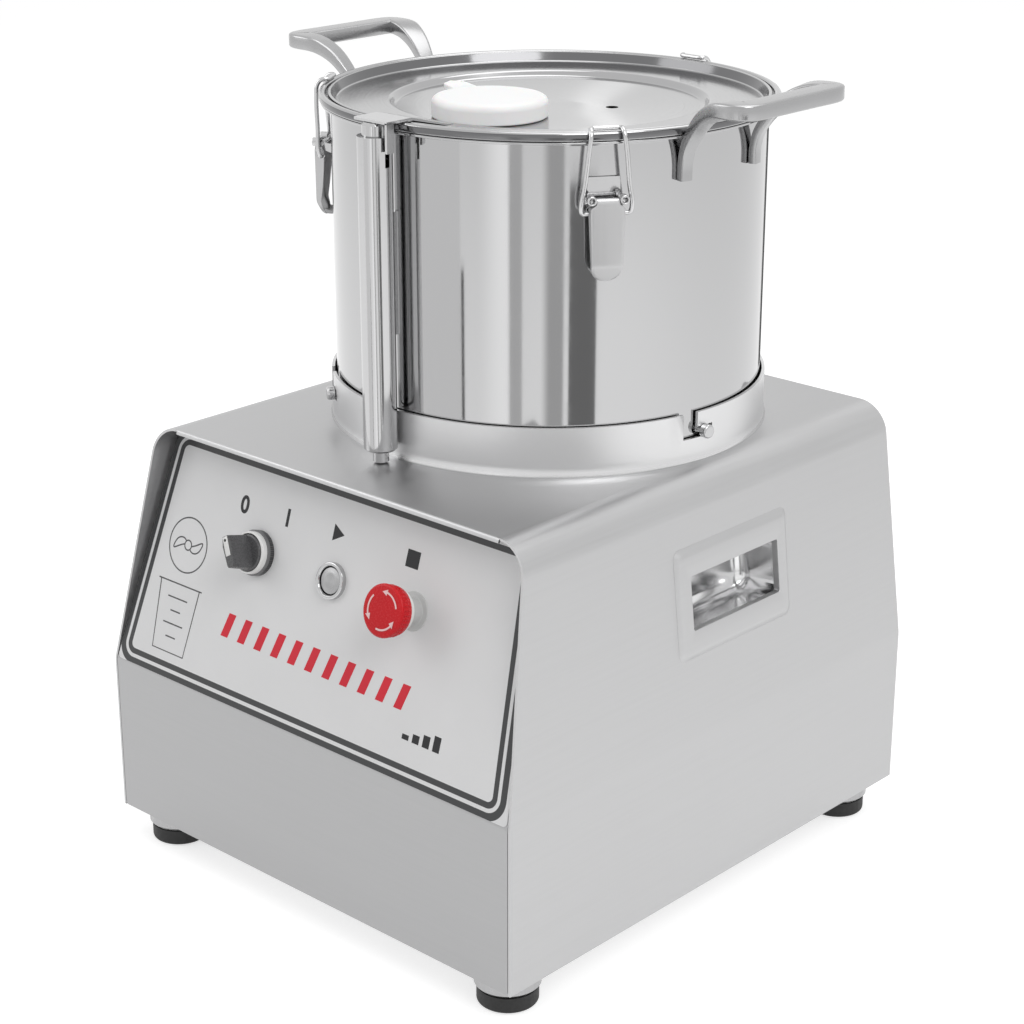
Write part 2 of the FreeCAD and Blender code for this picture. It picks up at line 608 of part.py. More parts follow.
def motor():
    plate = newBody("motor_plate", y="bowlBack", z="footHeight + " + plateUnder)
    half = "mountWidth / 2"
    bolts = [("boltCircle * cos(45 + 90 * %d)" % i, "boltCircle * sin(45 + 90 * %d)" % i) for i in range(4)]
    holes = [(x, y, "boltRadius + seam") for x, y in bolts]
    hole = ("0", "0", "sealRadius + seam")
    pad(plate, draw(plate, "XY_Plane", [box(("-" + half, half), ("-" + half, half)), hole] + holes), "mountPlate")

    upper = turned("motor_upper_bell", [
        ("bearingRadius", "-bellThick"), ("motorRadius", "-bellThick"), ("motorRadius", "-bellThick / 2"),
        ("boltCircle + 3 * boltRadius", "-bellThick / 2"), ("boltCircle + 3 * boltRadius", "0"),
        ("shaftRadius + 3", "0"), ("shaftRadius + 3", "-(bellThick - bearingWidth)"),
        ("bearingRadius", "-(bellThick - bearingWidth)")], y="bowlBack", z="footHeight + " + plateUnder)
    cut = draw(upper, "XY_Plane", holes, ("0", "0", "1"))
    pocket(upper, cut, "bellThick + 2")

    shell = turned("motor_shell", [
        ("motorRadius - motorWall", "0"), ("motorRadius", "0"), ("motorRadius", "motorLength"),
        ("motorRadius - motorWall", "motorLength")], y="bowlBack", z="footHeight + %s + bellThick" % motorLow)
    fin = draw(shell, "XY_Plane", [box(("motorRadius - 1", "motorRadius + finHeight"), ("-1.2", "1.2"))],
               ("0", "0", "6"))
    around(shell, [pad(shell, fin, "motorLength - 12")], "finCount")

    turned("motor_lower_bell", [
        ("shaftRadius + 3", "0"), ("motorRadius", "0"), ("motorRadius", "bellThick"), ("bearingRadius", "bellThick"),
        ("bearingRadius", "bellThick - bearingWidth"), ("shaftRadius + 3", "bellThick - bearingWidth")],
        y="bowlBack", z="footHeight + " + motorLow)

    bearings = newBody("motor_bearings", y="bowlBack", z="footHeight + " + motorLow)
    ring = [("0", "0", "bearingRadius"), ("0", "0", "shaftRadius + shaftFit")]
    pad(bearings, draw(bearings, "XY_Plane", ring, ("0", "0", "bellThick - bearingWidth")), "bearingWidth")
    pad(bearings, draw(bearings, "XY_Plane", ring, ("0", "0", "bellThick + motorLength")), "bearingWidth")

    core = "(motorRadius - motorWall)"
    low = "(motorLength - statorLength) / 2"
    high = "(motorLength + statorLength) / 2"
    turned("motor_stator", [
        ("statorBore", low), ("statorBore + 3", low), ("statorBore + 3", "%s - windingLength" % low),
        ("%s - 5" % core, "%s - windingLength" % low), ("%s - 5" % core, low), (core, low), (core, high),
        ("%s - 5" % core, high), ("%s - 5" % core, "%s + windingLength" % high),
        ("statorBore + 3", "%s + windingLength" % high), ("statorBore + 3", high), ("statorBore", high)],
        y="bowlBack", z="footHeight + %s + bellThick" % motorLow)

    bore = "shaftRadius + shaftFit"
    turned("motor_rotor", [
        (bore, low), ("statorBore - airGap", low), ("statorBore - airGap", high), (bore, high)],
        y="bowlBack", z="footHeight + %s + bellThick" % motorLow)

    turned("shaft_seal", [
        ("shaftRadius + shaftFit", "-mountPlate - sheet"), ("sealRadius", "-mountPlate - sheet"), ("sealRadius", "0"),
        ("shaftRadius + 4", "0"), ("shaftRadius + shaftFit", "-2")], y="bowlBack", z=topSheet)

    boltsBody = newBody("motor_bolts", y="bowlBack", z="footHeight + " + plateUnder)
    pad(boltsBody, draw(boltsBody, "XY_Plane", [(x, y, "boltRadius") for x, y in bolts],
                        ("0", "0", "-bellThick / 2")), "bellThick / 2 + mountPlate")
    pad(boltsBody, draw(boltsBody, "XY_Plane", [(x, y, "1.7 * boltRadius") for x, y in bolts],
                        ("0", "0", "-bellThick / 2")), "boltRadius", back=True)


def driveShaft():
    body = newBody("drive_shaft", y="bowlBack", z=topSheet)
    low = "casingHeight - %s + fanWidth + 6" % motorLow
    pad(body, draw(body, "XY_Plane", [("0", "0", "shaftRadius")], ("0", "0", "-(%s)" % low)),
        "%s + shaftTop - hexLength" % low)
    pad(body, draw(body, "XY_Plane", [hexagon("shaftRadius")], ("0", "0", "shaftTop - hexLength")), "hexLength")


def hexagon(radius):
    return [("(%s) * cos(60 * %d)" % (radius, i), "(%s) * sin(60 * %d)" % (radius, i)) for i in range(6)]


def coolingFan():
    fanTop = "footHeight + %s - 3" % motorLow
    bore = "shaftRadius + shaftFit"
    body = turned("cooling_fan", [
        (bore, "-fanWidth"), ("shaftRadius + 6", "-fanWidth"), ("shaftRadius + 6", "-2"), ("fanRadius", "-2"),
        ("fanRadius", "0"), (bore, "0")], y="bowlBack", z=fanTop)
    blade = draw(body, "XY_Plane", [box(("shaftRadius + 5", "fanRadius - 2"), ("-1", "1"))], ("0", "0", "-1"))
    around(body, [pad(body, blade, "fanWidth - 1", back=True)], "fanBlades")
    rim = "(fanRadius + cowlGap)"
    turned("fan_cowl", [
        ("%s" % rim, "3"), ("motorRadius", "3"), ("motorRadius", "1"), ("%s + 1.2" % rim, "1"),
        ("%s + 1.2" % rim, "-fanWidth - 6"), ("30", "-fanWidth - 6"), ("30", "-fanWidth - 4.8"),
        (rim, "-fanWidth - 4.8")], y="bowlBack", z=fanTop)


def insides():
    tray = "footHeight + sheet"
    turned("run_capacitor", [
        ("0", "0"), ("capacitorRadius", "0"), ("capacitorRadius", "capacitorHeight"),
        ("capacitorRadius - 3", "capacitorHeight"), ("capacitorRadius - 3", "capacitorHeight + 2"),
        ("0", "capacitorHeight + 2")], x="casingWidth / 2 - capacitorAcross", y="-casingDepth / 2 + capacitorBack",
        z=tray)
    starter = newBody("motor_contactor", x="-casingWidth / 2 + contactorAcross",
                      y="-casingDepth / 2 + contactorBack", z=tray)
    wide = "contactorWidth / 2"
    long = "contactorLength / 2"
    deck = ("0", "0", "contactorDeck")
    pad(starter, draw(starter, "XY_Plane", [box(("-" + wide, wide), ("-" + long, long))]), "contactorDeck")
    pad(starter, draw(starter, "XY_Plane", [box(("-" + wide, wide), ("-" + wide, wide))], deck), "contactorTop")
    screws = []
    for i in (-1, 0, 1):
        for way in ("", "-"):
            along = "%s(contactorLength + contactorWidth) / 4" % way
            screws.append(("%d * terminalPitch" % i, along, "terminalRadius"))
    pocket(starter, draw(starter, "XY_Plane", screws, deck), "terminalRadius")
    top = size("contactorDeck + contactorTop")
    soften(starter, "1.5", lambda e: near(middle(e).z, top))

    sensor = newBody("lid_sensor", y="bowlBack - tubeOut", z="footHeight + casingHeight - sheet")
    outline = box(("-sensorWidth / 2", "sensorWidth / 2"), ("-sensorAhead", "sensorBehind"))
    pad(sensor, draw(sensor, "XY_Plane", [outline]), "sensorHeight", back=True)
    soften(sensor, "2", lambda e: near(e.Length, size("sensorHeight"), 0.01))

    gland = newBody("cable_gland", x="glandAcross", y="casingDepth / 2 - rearInset", z="footHeight + glandHeight")
    hole = ("0", "0", "glandRadius / 2")
    pad(gland, draw(gland, "XZ_Plane", [hexagon("glandRadius + 1"), hole]), "5", back=True)
    pad(gland, draw(gland, "XZ_Plane", [("0", "0", "glandRadius - 1"), hole], ("0", "0", "-4")),
        "glandLength - 4", back=True)
    pad(gland, draw(gland, "XZ_Plane", [("0", "0", "glandRadius - 2.3"), hole], ("0", "0", "-1")), "10 + sheet")
    pad(gland, draw(gland, "XZ_Plane", [hexagon("glandRadius"), hole], ("0", "0", "sheet")), "4")

    screws = newBody("panel_screws", y="casingDepth / 2 - rearInset", z="footHeight")
    spots = []
    for side in (-1, 1):
        for up in ("trayFlange + 12", "creaseHeight - 8", "casingHeight - bendRadius - 14"):
            inset = "12 + max(0; %s - creaseHeight) * %s" % (up, tanSide)
            spots.append(("%d * (casingWidth / 2 - sheet - seam - (%s))" % (side, inset), up, "screwHead"))
    pad(screws, draw(screws, "XZ_Plane", spots), "screwHeadHeight", back=True)
    soften(screws, "1.4", lambda e: near(middle(e).y, size("screwHeadHeight")))


# Controls, each in the panel's own frame: x across, y up the slope, z out of the panel

def panelBody(label, across):
    body = doc.addObject("PartDesign::Body", label)
    body.Label = label
    body.Placement.Rotation = FreeCAD.Rotation(FreeCAD.Vector(1, 0, 0), 1)
    bind(body, "Placement.Rotation.Angle", "90 - panelTilt")
    bind(body, "Placement.Base.x", across)
    bind(body, "Placement.Base.y",
         "-casingDepth / 2 + controlHeight * sin(panelTilt) - film * cos(panelTilt)")
    bind(body, "Placement.Base.z",
         "footHeight + creaseHeight + controlHeight * cos(panelTilt) + film * sin(panelTilt)")
    return body


def panelTurned(label, across, points):
    body = panelBody(label, across)
    spin(body, draw(body, "XZ_Plane", [points]))
    return body


def controls():
    bore = "barrelRadius - 2"
    under = "-(film + sheet)"
    panelTurned("selector_barrel", "selectorAcross", [
        (bore, "-barrelDepth"), ("barrelRadius", "-barrelDepth"), ("barrelRadius", "0"), ("selectorRadius", "0"),
        ("selectorRadius", "selectorFoot"), (bore, "selectorFoot")])
    panelTurned("selector_ring", "selectorAcross", [
        ("knobRadius + running", "selectorFoot"), ("selectorRing", "selectorFoot"),
        ("selectorRing", "selectorProud - 1.5"), ("selectorRing - 0.6", "selectorProud"),
        ("knobRadius + running", "selectorProud")])
    knob = panelBody("selector_knob", "selectorAcross")
    base = draw(knob, "XY_Plane", [("0", "0", "knobRadius")], ("0", "0", "selectorFoot + running"))
    pad(knob, base, "selectorProud - selectorFoot + 0.6")
    bar = box(("-knobBar / 2", "knobBar / 2"), ("-knobBarLength / 2", "knobBarLength / 2"))
    pad(knob, draw(knob, "XY_Plane", [bar], ("0", "0", "selectorProud"), (0, 0, 1), "knobRest"),
        "knobReach - selectorProud")
    top = size("knobReach")
    soften(knob, "1.6", lambda e: near(middle(e).z, top))
    pad(knob, draw(knob, "XY_Plane", [("0", "0", "stemRadius")], ("0", "0", "selectorFoot + running")),
        "barrelDepth", back=True)

    panelTurned("start_ring", "startAcross", [
        ("startButtonRadius + running / 2", "-barrelDepth"), ("startButtonRadius + seam - 0.05", "-barrelDepth"),
        ("startButtonRadius + seam - 0.05", "0"), ("startRadius", "0"), ("startRadius", "startProud - 1.4"),
        ("startRadius - 1.2", "startProud"), ("startButtonRadius + running / 2", "startProud - 0.4")])
    panelTurned("start_button", "startAcross", [
        ("0", "-barrelDepth + 4"), ("startButtonRadius - 1", "-barrelDepth + 4"), ("startButtonRadius - 1", "-4"),
        ("startButtonRadius", "-4"), ("startButtonRadius", "startProud - 1"),
        ("startButtonRadius - 0.6", "startProud - 0.5"), ("0", "startProud - 0.3")])

    panelTurned("stop_foot", "stopAcross", [
        ("stemRadius + running / 2", "-barrelDepth"), ("barrelRadius", "-barrelDepth"), ("barrelRadius", "0"),
        ("stopFoot", "0"), ("stopFoot", "stopFootHeight - 2"), ("stopFoot - 1.2", "stopFootHeight"),
        ("stemRadius + running / 2", "stopFootHeight")])
    headBack = "(stopReach - stopHead)"
    panelTurned("stop_stem", "stopAcross", [
        ("0", "-barrelDepth + stopTravel"), ("stemRadius", "-barrelDepth + stopTravel"),
        ("stemRadius", "%s - 0.6" % headBack), ("stemRadius - 2", "%s - 0.6" % headBack),
        ("stemRadius - 2", "%s + 4" % headBack), ("0", "%s + 4" % headBack)])
    head = panelTurned("stop_head", "stopAcross", [
        ("stemRadius - 2 + shaftFit", headBack), ("stopRadius - 1.6", headBack), ("stopRadius", "%s + 1.6" % headBack),
        ("stopRadius", "stopReach - 3"), ("stopRadius - 1.8", "stopReach - 0.8"),
        ("stopRadius - 4", "stopReach - 0.2"), ("0", "stopReach"), ("0", "%s + 4 + running" % headBack),
        ("stemRadius - 2 + shaftFit", "%s + 4 + running" % headBack)])
    rib = draw(head, "XY_Plane", [box(("stopRadius - 0.4", "stopRadius + 0.5"), ("-0.6", "0.6"))],
               ("0", "0", "%s + 1.8" % headBack))
    around(head, [pad(head, rib, "stopHead - 5.6")], "36")

    blocks = panelBody("contact_blocks", "0")
    half = "blockHeight / 2"
    spots = []
    for across in ("selectorAcross", "startAcross", "stopAcross"):
        spots.append(box(("%s - blockWidth / 2" % across, "%s + blockWidth / 2" % across), ("-" + half, half)))
    pad(blocks, draw(blocks, "XY_Plane", spots, ("0", "0", "-barrelDepth")), "blockDepth", back=True)
    grooves = [box(("%s - 1" % across, "%s + 1" % across), ("-%s - 1" % half, "%s + 1" % half))
               for across in ("selectorAcross", "startAcross", "stopAcross")]
    pocket(blocks, draw(blocks, "XY_Plane", grooves, ("0", "0", "-barrelDepth - blockDepth")), "6", back=True)
    nuts = panelBody("barrel_nuts", "0")
    rings = []
    for across, radius in (("selectorAcross", "barrelRadius"), ("startAcross", "startButtonRadius + seam"),
                           ("stopAcross", "barrelRadius")):
        rings.append((across, "0", "%s + 4" % radius))
        rings.append((across, "0", "%s + 0.05" % radius))
    pad(nuts, draw(nuts, "XY_Plane", rings, ("0", "0", under)), "4", back=True)


# The bowl with its handles, studs and safety rod

def bowl():
    flange = "bowlHeight - bowlWall"
    shaftHole = "chimneyRadius - chimneyWall"
    turned("bowl_shell", [
        (shaftHole, "running"), ("bowlRadius - floorRound", "running"),
        ("bowlRadius - floorRound * 0.3", "running + floorRound * 0.3"), ("bowlRadius", "running + floorRound"),
        ("bowlRadius", flange), ("bowlRadius + flangeWidth", flange), ("bowlRadius + flangeWidth", "bowlHeight"),
        ("bowlRadius - bowlWall", "bowlHeight"), ("bowlRadius - bowlWall", "running + floorRound"),
        ("bowlRadius - floorRound * 0.3 - bowlWall", "running + floorRound * 0.3 + bowlWall / 2"),
        ("bowlRadius - floorRound", "running + bowlFloor"), (shaftHole, "running + bowlFloor")],
        y="bowlBack", z=topSheet)
    foot = "running + bowlFloor"
    turned("bowl_chimney", [
        (shaftHole, foot), ("chimneyRadius + 3", foot), ("chimneyRadius", "%s + 3" % foot),
        ("chimneyRadius", "chimneyHeight"), (shaftHole, "chimneyHeight")], y="bowlBack", z=topSheet)
    studs = newBody("bayonet_studs", y="bowlBack", z=topSheet, turn="studAngle")
    shank = draw(studs, "YZ_Plane", [("0", "studHeight", "studRadius")], ("0", "0", "bowlRadius + 0.05"))
    made = [pad(studs, shank, "collarRadius - bowlRadius + 1")]
    around(studs, made, "3")
    cap = draw(studs, "YZ_Plane", [("0", "studHeight", "studHead")], ("0", "0", "collarRadius + running"))
    made = [pad(studs, cap, "studHeadLength")]
    around(studs, made, "3")
    soften(studs, "1.4", lambda e: near(math.hypot(middle(e).x, middle(e).y),
                                        size("collarRadius + running + studHeadLength"), 0.3))


def curve(ends, count):
    # points on a smooth curve from the first point to the last, pulled towards the two between
    points = []
    for i in range(count + 1):
        t = i / count
        share = [(1 - t) ** 3, 3 * t * (1 - t) ** 2, 3 * t * t * (1 - t), t ** 3]
        points.append(tuple(" + ".join("%.5f * (%s)" % (part, spot[axis]) for part, spot in zip(share, ends))
                            for axis in (0, 1)))
    return points


def handle(label, turn):
    body = newBody(label, y="bowlBack", z=topSheet, turn=turn)
    wall = "(bowlRadius + 0.05)"
    outside = "(%s + legThick)" % wall
    clear = "(rimRadius + legClear)"
    under = "(handleTop - handleBarHeight)"
    bar = "(handleReach - handleBar)"
    shoulder = "(rimTop + shoulderRise)"
    outer = curve([(outside, "handleFoot"), (outside, "handleFoot + legRise"), ("%s - legLevel" % bar, under),
                   ("%s + handleBar / 2" % bar, under)], 8)
    inner = curve([("%s + handleBar / 2" % bar, "handleTop"), ("%s - shoulderLevel" % bar, "handleTop"),
                   (clear, shoulder), (clear, "rimTop")], 8)
    leg = [(wall, "handleFoot")] + outer + inner + [(clear, "bowlHeight - 4"), (wall, "bowlHeight - 10")]
    for way in (1, -1):
        sketch = draw(body, "XZ_Plane", [leg], ("0", "0", "0"), (0, way, 0), "handleSpread")
        pad(body, sketch, "legWidth", "Symmetric")
    pad(body, draw(body, "XZ_Plane", [box((bar, "handleReach"), (under, "handleTop"))]), "handleLength", "Symmetric")
    end = size("handleLength / 2")
    reach = size("handleReach")
    soften(body, "handleSoft", lambda e: near(abs(middle(e).y), end) and near(middle(e).x, reach))


def safetyRod():
    y = "bowlBack - tubeOut"
    headLow = "rimTop + rodProud - rodHeadLength"
    seat = "%s - springLength - 2 * running" % headLow
    tube = turned("rod_tube", [
        ("pinRadius + running", "tubeLow"), ("tubeRadius - 1", "tubeLow"), ("tubeRadius", "tubeLow + 1"),
        ("tubeRadius", tubeHigh), ("tubeBore", tubeHigh), ("tubeBore", seat), ("pinRadius + running", seat)],
        y=y, z=topSheet)
    slot = box(("0", "2 * tubeRadius"), ("-tubeSlot / 2", "tubeSlot / 2"))
    pocket(tube, draw(tube, "XY_Plane", [slot], ("0", "0", tubeHigh + " - tubeSlotDepth")), "2 * tubeSlotDepth",
           back=True)
    web = box(("-webThick / 2", "webThick / 2"), ("tubeRadius - 1", "tubeOut - bowlRadius - 0.05"))
    pad(tube, draw(tube, "XY_Plane", [web], ("0", "0", "webLow")), "webHigh - webLow")
    turned("safety_rod", [
        ("0", "running"), ("pinRadius - 1", "running"), ("pinRadius", "running + 1"), ("pinRadius", "tubeLow + 12"),
        ("rodRadius", "tubeLow + 12"), ("rodRadius", headLow), ("rodHead", headLow),
        ("rodHead", "rimTop + rodProud - 1.5"), ("rodHead - 1.5", "rimTop + rodProud"), ("0", "rimTop + rodProud")],
        y=y, z=topSheet)
    spring = doc.addObject("Part::Feature", "rod_spring")
    spring.Label = "rod_spring"
    wire = size("springWire") / 2
    coil = (size("rodRadius") + size("tubeBore")) / 2
    free = size("springLength - springWire")
    helix = Part.makeHelix(free / size("springCoils"), free, coil)
    ring = Part.Wire([Part.makeCircle(wire, FreeCAD.Vector(coil, 0, 0), FreeCAD.Vector(0, 1, 0))])
    spring.Shape = Part.Wire(helix.Edges).makePipeShell([ring], True, True)
    # the coil's ends stand half a wire past its path, so the path starts a wire above the seat
    foot = size("%s + %s + running + springWire / 2" % (topSheet, seat))
    spring.Placement.Base = FreeCAD.Vector(0, size(y), foot)


# The lid

def lid():
    ledge = "ledgeHeight"
    plug = "(bowlRadius - bowlWall - lidPlugGap)"
    rest = "(bowlHeight + running)"
    dish = "(ledgeHeight - dishDepth)"
    body = turned("lid", [
        ("0", dish), ("dishRadius - lidSheet", dish), ("dishRadius + 1.5", ledge), (plug, ledge), (plug, rest),
        ("rimRadius - 1.2", rest), ("rimRadius", "%s + 1.2" % rest), ("rimRadius", "rimTop - 2"),
        ("rimRadius - 0.6", "rimTop - 0.6"), ("rimRadius - 2", "rimTop"), ("rimRadius - rimWidth + 2", "rimTop"),
        ("rimRadius - rimWidth + 0.6", "rimTop - 0.6"), ("rimRadius - rimWidth", "rimTop - 2"),
        ("rimRadius - rimWidth", "%s + lidSheet" % rest), ("%s - lidSheet" % plug, "%s + lidSheet" % rest),
        ("%s - lidSheet" % plug, "%s + lidSheet" % ledge), ("dishRadius", "%s + lidSheet" % ledge),
        ("dishRadius - 2.5", "%s + lidSheet" % dish), ("0", "%s + lidSheet" % dish)],
        y="bowlBack", z=topSheet)
    holes = [("0", "-feedForward", "feedRadius"),
             ("ventOut * cos(ventAngle)", "ventOut * sin(ventAngle)", "ventRadius")]
    pocket(body, draw(body, "XY_Plane", holes, ("0", "0", "%s - 1" % dish)), "6", back=True)

    tab = newBody("lid_tab", y="bowlBack - tubeOut", z=topSheet)
    under = "(rimTop + rodProud + running)"
    back = "tubeOut - dishRadius - 6"
    plate = [("-tabLeft", "-4"), ("tabRight", "-4"), ("tabRight", "tubeOut - rimRadius + rimWidth + 1"),
             ("6", back), ("-6", back), ("-tabLeft", "tubeOut - rimRadius + rimWidth + 1")]
    pad(tab, draw(tab, "XY_Plane", [plate], ("0", "0", under)), "tabThick")
    leg = box(("tabRight - tabThick", "tabRight"), ("-4", "7.5"))
    pad(tab, draw(tab, "XY_Plane", [leg], ("0", "0", under)), "tabLeg", back=True)
    brace = box(("-6", "6"), ("%s - 2" % back, back))
    pad(tab, draw(tab, "XY_Plane", [brace], ("0", "0", under)), "%s - ledgeHeight - lidSheet - 0.02" % under,
        back=True)

    plugRadius = "(%s - lidSheet)" % plug
    turned("lid_seal", [
        ("%s - sealWidth" % plugRadius, "%s - sealHeight" % ledge), (plugRadius, "%s - sealHeight" % ledge),
        (plugRadius, ledge), ("%s - sealWidth" % plugRadius, ledge)], y="bowlBack", z=topSheet)

    top = "(%s + lidSheet + running)" % dish
    cap = turned("feed_cap", [
        ("0", "%s + 2" % top), ("feedRadius - 3", "%s + 2" % top), ("feedRadius - 3", "%s - capPlug" % top),
        ("feedRadius - 1", "%s - capPlug" % top), ("feedRadius - 1", top), ("capRadius", top),
        ("capRadius", "%s + capHeight - 2.5" % top), ("capRadius - 1", "%s + capHeight - 0.8" % top),
        ("capRadius - 3", "%s + capHeight" % top), ("0", "%s + capHeight" % top)],
        y="bowlBack - feedForward", z=topSheet)
    pull = [("-capRadius + 2", "3"), ("-capRadius - 4", "1"), ("-capRadius - 5", "8"), ("-capRadius - 3", "15"),
            ("-capRadius + 6", "17")]
    pad(cap, draw(cap, "XY_Plane", [pull], ("0", "0", "%s + capHeight - 4" % top)), "3")


# The three latches. Each is drawn at +X, with x out of the bowl, and turned to its angle.

def latchBrackets(turns):
    pivot = "(bowlRadius + leverPivotOut)"
    body = newBody("latch_brackets", y="bowlBack", z="%s + leverPivotHeight" % topSheet)
    back = "bowlRadius + 0.3"
    half = "bracketWidth / 2"
    plate = box(("-" + half, half), ("-bracketLow", "bracketHigh"))
    # the ears stay inside the circle that the lever's sheet sweeps, and join the plate under its top edge
    ear = [(back, "-6"), (pivot, "-earRound"), ("%s + 0.7 * earRound" % pivot, "-0.7 * earRound"),
           ("%s + earRound" % pivot, "0"), ("%s + 0.7 * earRound" % pivot, "0.7 * earRound"), (pivot, "earRound"),
           ("%s - 0.8 * earRound" % pivot, "0.6 * earRound"), ("%s - 1.1 * earRound" % pivot, "0.4"),
           ("%s - 5.9" % pivot, "0.4"), (back, "3")]
    for turn in turns:
        def out(distance):
            return ("(%s) * sin(%s)" % (distance, turn), "0", "(%s) * cos(%s)" % (distance, turn))
        pad(body, draw(body, "YZ_Plane", [plate], out(back), (0, 1, 0), turn), "bracketSheet")
        for way in (-1, 1):
            side = draw(body, "XZ_Plane", [ear], out("%d * (bracketWidth - bracketSheet) / 2" % way), (0, 1, 0), turn)
            pad(body, side, "bracketSheet", "Symmetric")
        hinge = draw(body, "XZ_Plane", [(pivot, "0", "leverPin")], ("0", "0", "0"), (0, 1, 0), turn)
        pad(body, hinge, "leverWidth + 2", "Symmetric")


def latch(name, turn):
    pivot = "(bowlRadius + leverPivotOut)"
    lever = newBody("latch_lever_" + name, y="bowlBack", z="%s + leverPivotHeight" % topSheet, turn=turn)
    face = "(%s + leverFlange / 2)" % pivot
    wide = "leverWidth / 2"
    tip = "leverTipWidth / 2"
    blade = [("-" + wide, "leverHigh"), ("-" + wide, "-leverFlangeLow"), ("-" + tip, "-leverFlangeLow - 8"),
             ("-" + tip, "-leverLow + 5"), ("-%s + 2.5" % tip, "-leverLow + 1.4"), ("-%s + 5.5" % tip, "-leverLow"),
             ("%s - 5.5" % tip, "-leverLow"), ("%s - 2.5" % tip, "-leverLow + 1.4"), (tip, "-leverLow + 5"),
             (tip, "-leverFlangeLow - 8"), (wide, "-leverFlangeLow"), (wide, "leverHigh")]
    pad(lever, draw(lever, "YZ_Plane", [blade], ("0", "0", face)), "leverThick")
    side = [("%s - leverFlange" % face, "leverHigh - 2"), (face, "leverHigh"), (face, "-leverFlangeLow - 2"),
            ("%s - leverFlange + 1" % face, "-leverFlangeLow + 1")]
    holes = [(pivot, "0", "leverPin + shaftFit"), ("%s - bailIn" % pivot, "-bailDrop", "bailWire + shaftFit")]
    for way in (-1, 1):
        flank = draw(lever, "XZ_Plane", [side] + holes, ("0", "0", "%d * (leverWidth - leverThick) / 2" % way))
        pad(lever, flank, "leverThick", "Symmetric")

    bail = doc.addObject("Part::Feature", "latch_bail_" + name)
    bail.Label = "latch_bail_" + name
    bail.Shape = bailShape()
    middleHeight = size("%s + leverPivotHeight" % topSheet)
    bail.Placement = FreeCAD.Placement(FreeCAD.Vector(0, size("bowlBack"), middleHeight),
                                       FreeCAD.Rotation(FreeCAD.Vector(0, 0, 1), size(turn)))


def bailShape():
    # round wire from the lever's left hole, out and up round the lid's edge, across the top and down again
    wire = size("bailWire")
    pivot = size("bowlRadius + leverPivotOut")
    crest = size("rimTop - leverPivotHeight") + size("running") + wire
    wide = size("bailWide") / 2
    bar = size("bailBar") / 2
    low = -size("bailDrop")
    bulge = size("bailBulge")
    hook = pivot - size("bailIn")
    rim = size("rimTop - leverPivotHeight")
    inside = size("leverWidth / 2 - leverThick - running")
    half = [(hook, inside, low), (hook, wide, low), (hook + 1.6, wide + 0.4, low + 7),
            (bulge - 1, wide - 1.2, low + 16), (bulge, bar + 2.5, rim - 7), (bulge - 0.4, bar + 0.6, rim - 1),
            (size("bailCrest") + 2.6, bar, crest), (size("bailCrest"), bar - 1.5, crest)]
    points = [FreeCAD.Vector(x, -y, z) for x, y, z in half]
    points += [FreeCAD.Vector(x, y, z) for x, y, z in reversed(half)]
    solids = []
    for a, b in zip(points, points[1:]):
        solids.append(Part.makeCylinder(wire, (b - a).Length, a, b - a))
    for spot in points[1:-1]:
        solids.append(Part.makeSphere(wire, spot))
    return solids[0].multiFuse(solids[1:]).removeSplitter()


# The knives on their hub

def knives():
    foot = "(running + bowlFloor + hubLow)"
    bore = "chimneyRadius + hubGap"
    roof = "(chimneyHeight + 1.5)"
    crown = "(%s + hubRoof)" % roof
    hub = turned("knife_hub", [
        (bore, "%s + 1" % foot), ("hubRadius", "%s + 1" % foot), ("hubRadius", roof), ("hubRadius - 3", crown),
        ("0", crown), ("0", roof), (bore, roof)], y="bowlBack", z=topSheet)
    pocket(hub, draw(hub, "XY_Plane", [hexagon("shaftRadius + shaftFit")], ("0", "0", roof + " - 0.5")),
           "shaftTop - chimneyHeight", back=True)
    turned("knife_nut", [
        ("0", "0"), ("hubRadius - 3", "0"), ("hubRadius - 2", "nutHeight * 0.4"), ("hubRadius - 6", "nutHeight - 2"),
        ("0", "nutHeight")], y="bowlBack", z="%s + %s" % (topSheet, crown))
    blades = newBody("knife_blades", y="bowlBack", z=topSheet)
    root = "(hubRadius + knifeRing - 1.5)"
    sickle = [(root, "-9"), ("knifeReach * 0.55", "-20"), ("knifeReach * 0.85", "-14"), ("knifeReach", "6"),
              ("knifeReach * 0.84", "2"), ("knifeReach * 0.6", "-1"), (root, "9")]
    other = [("-(%s)" % x, "-(%s)" % y) for x, y in sickle]
    ring = [("0", "0", "hubRadius + knifeRing"), ("0", "0", "hubRadius + 0.02")]
    for lift, outline in (("knifeLow", sickle), ("knifeHigh", other)):
        height = ("0", "0", "%s + %s" % (foot, lift))
        pad(blades, draw(blades, "XY_Plane", ring, height), "knifeThick")
        pad(blades, draw(blades, "XY_Plane", [outline], height), "knifeThick")


housingCover()
frontPanel()
controlFilm()
rearPanel()
baseTray()
feet()
gripPocket("grip_pocket_right", None, "gripBack")
gripPocket("grip_pocket_left", "180", "-gripBack")
bowlCollar()
motor()
driveShaft()
coolingFan()
insides()
controls()
bowl()
handle("handle_right", None)
handle("handle_left", "180")
safetyRod()
lid()
latchAngles = {"front": "frontLatchAngle", "left": "leftLatchAngle", "back": "backLatchAngle"}
latchBrackets(latchAngles.values())
for side, angle in latchAngles.items():
    latch(side, angle)
knives()
doc.recompute()

for item in doc.Objects:
    if "Invalid" in item.State or "Error" in item.State:
        raise ValueError("%s did not build" % item.Label)

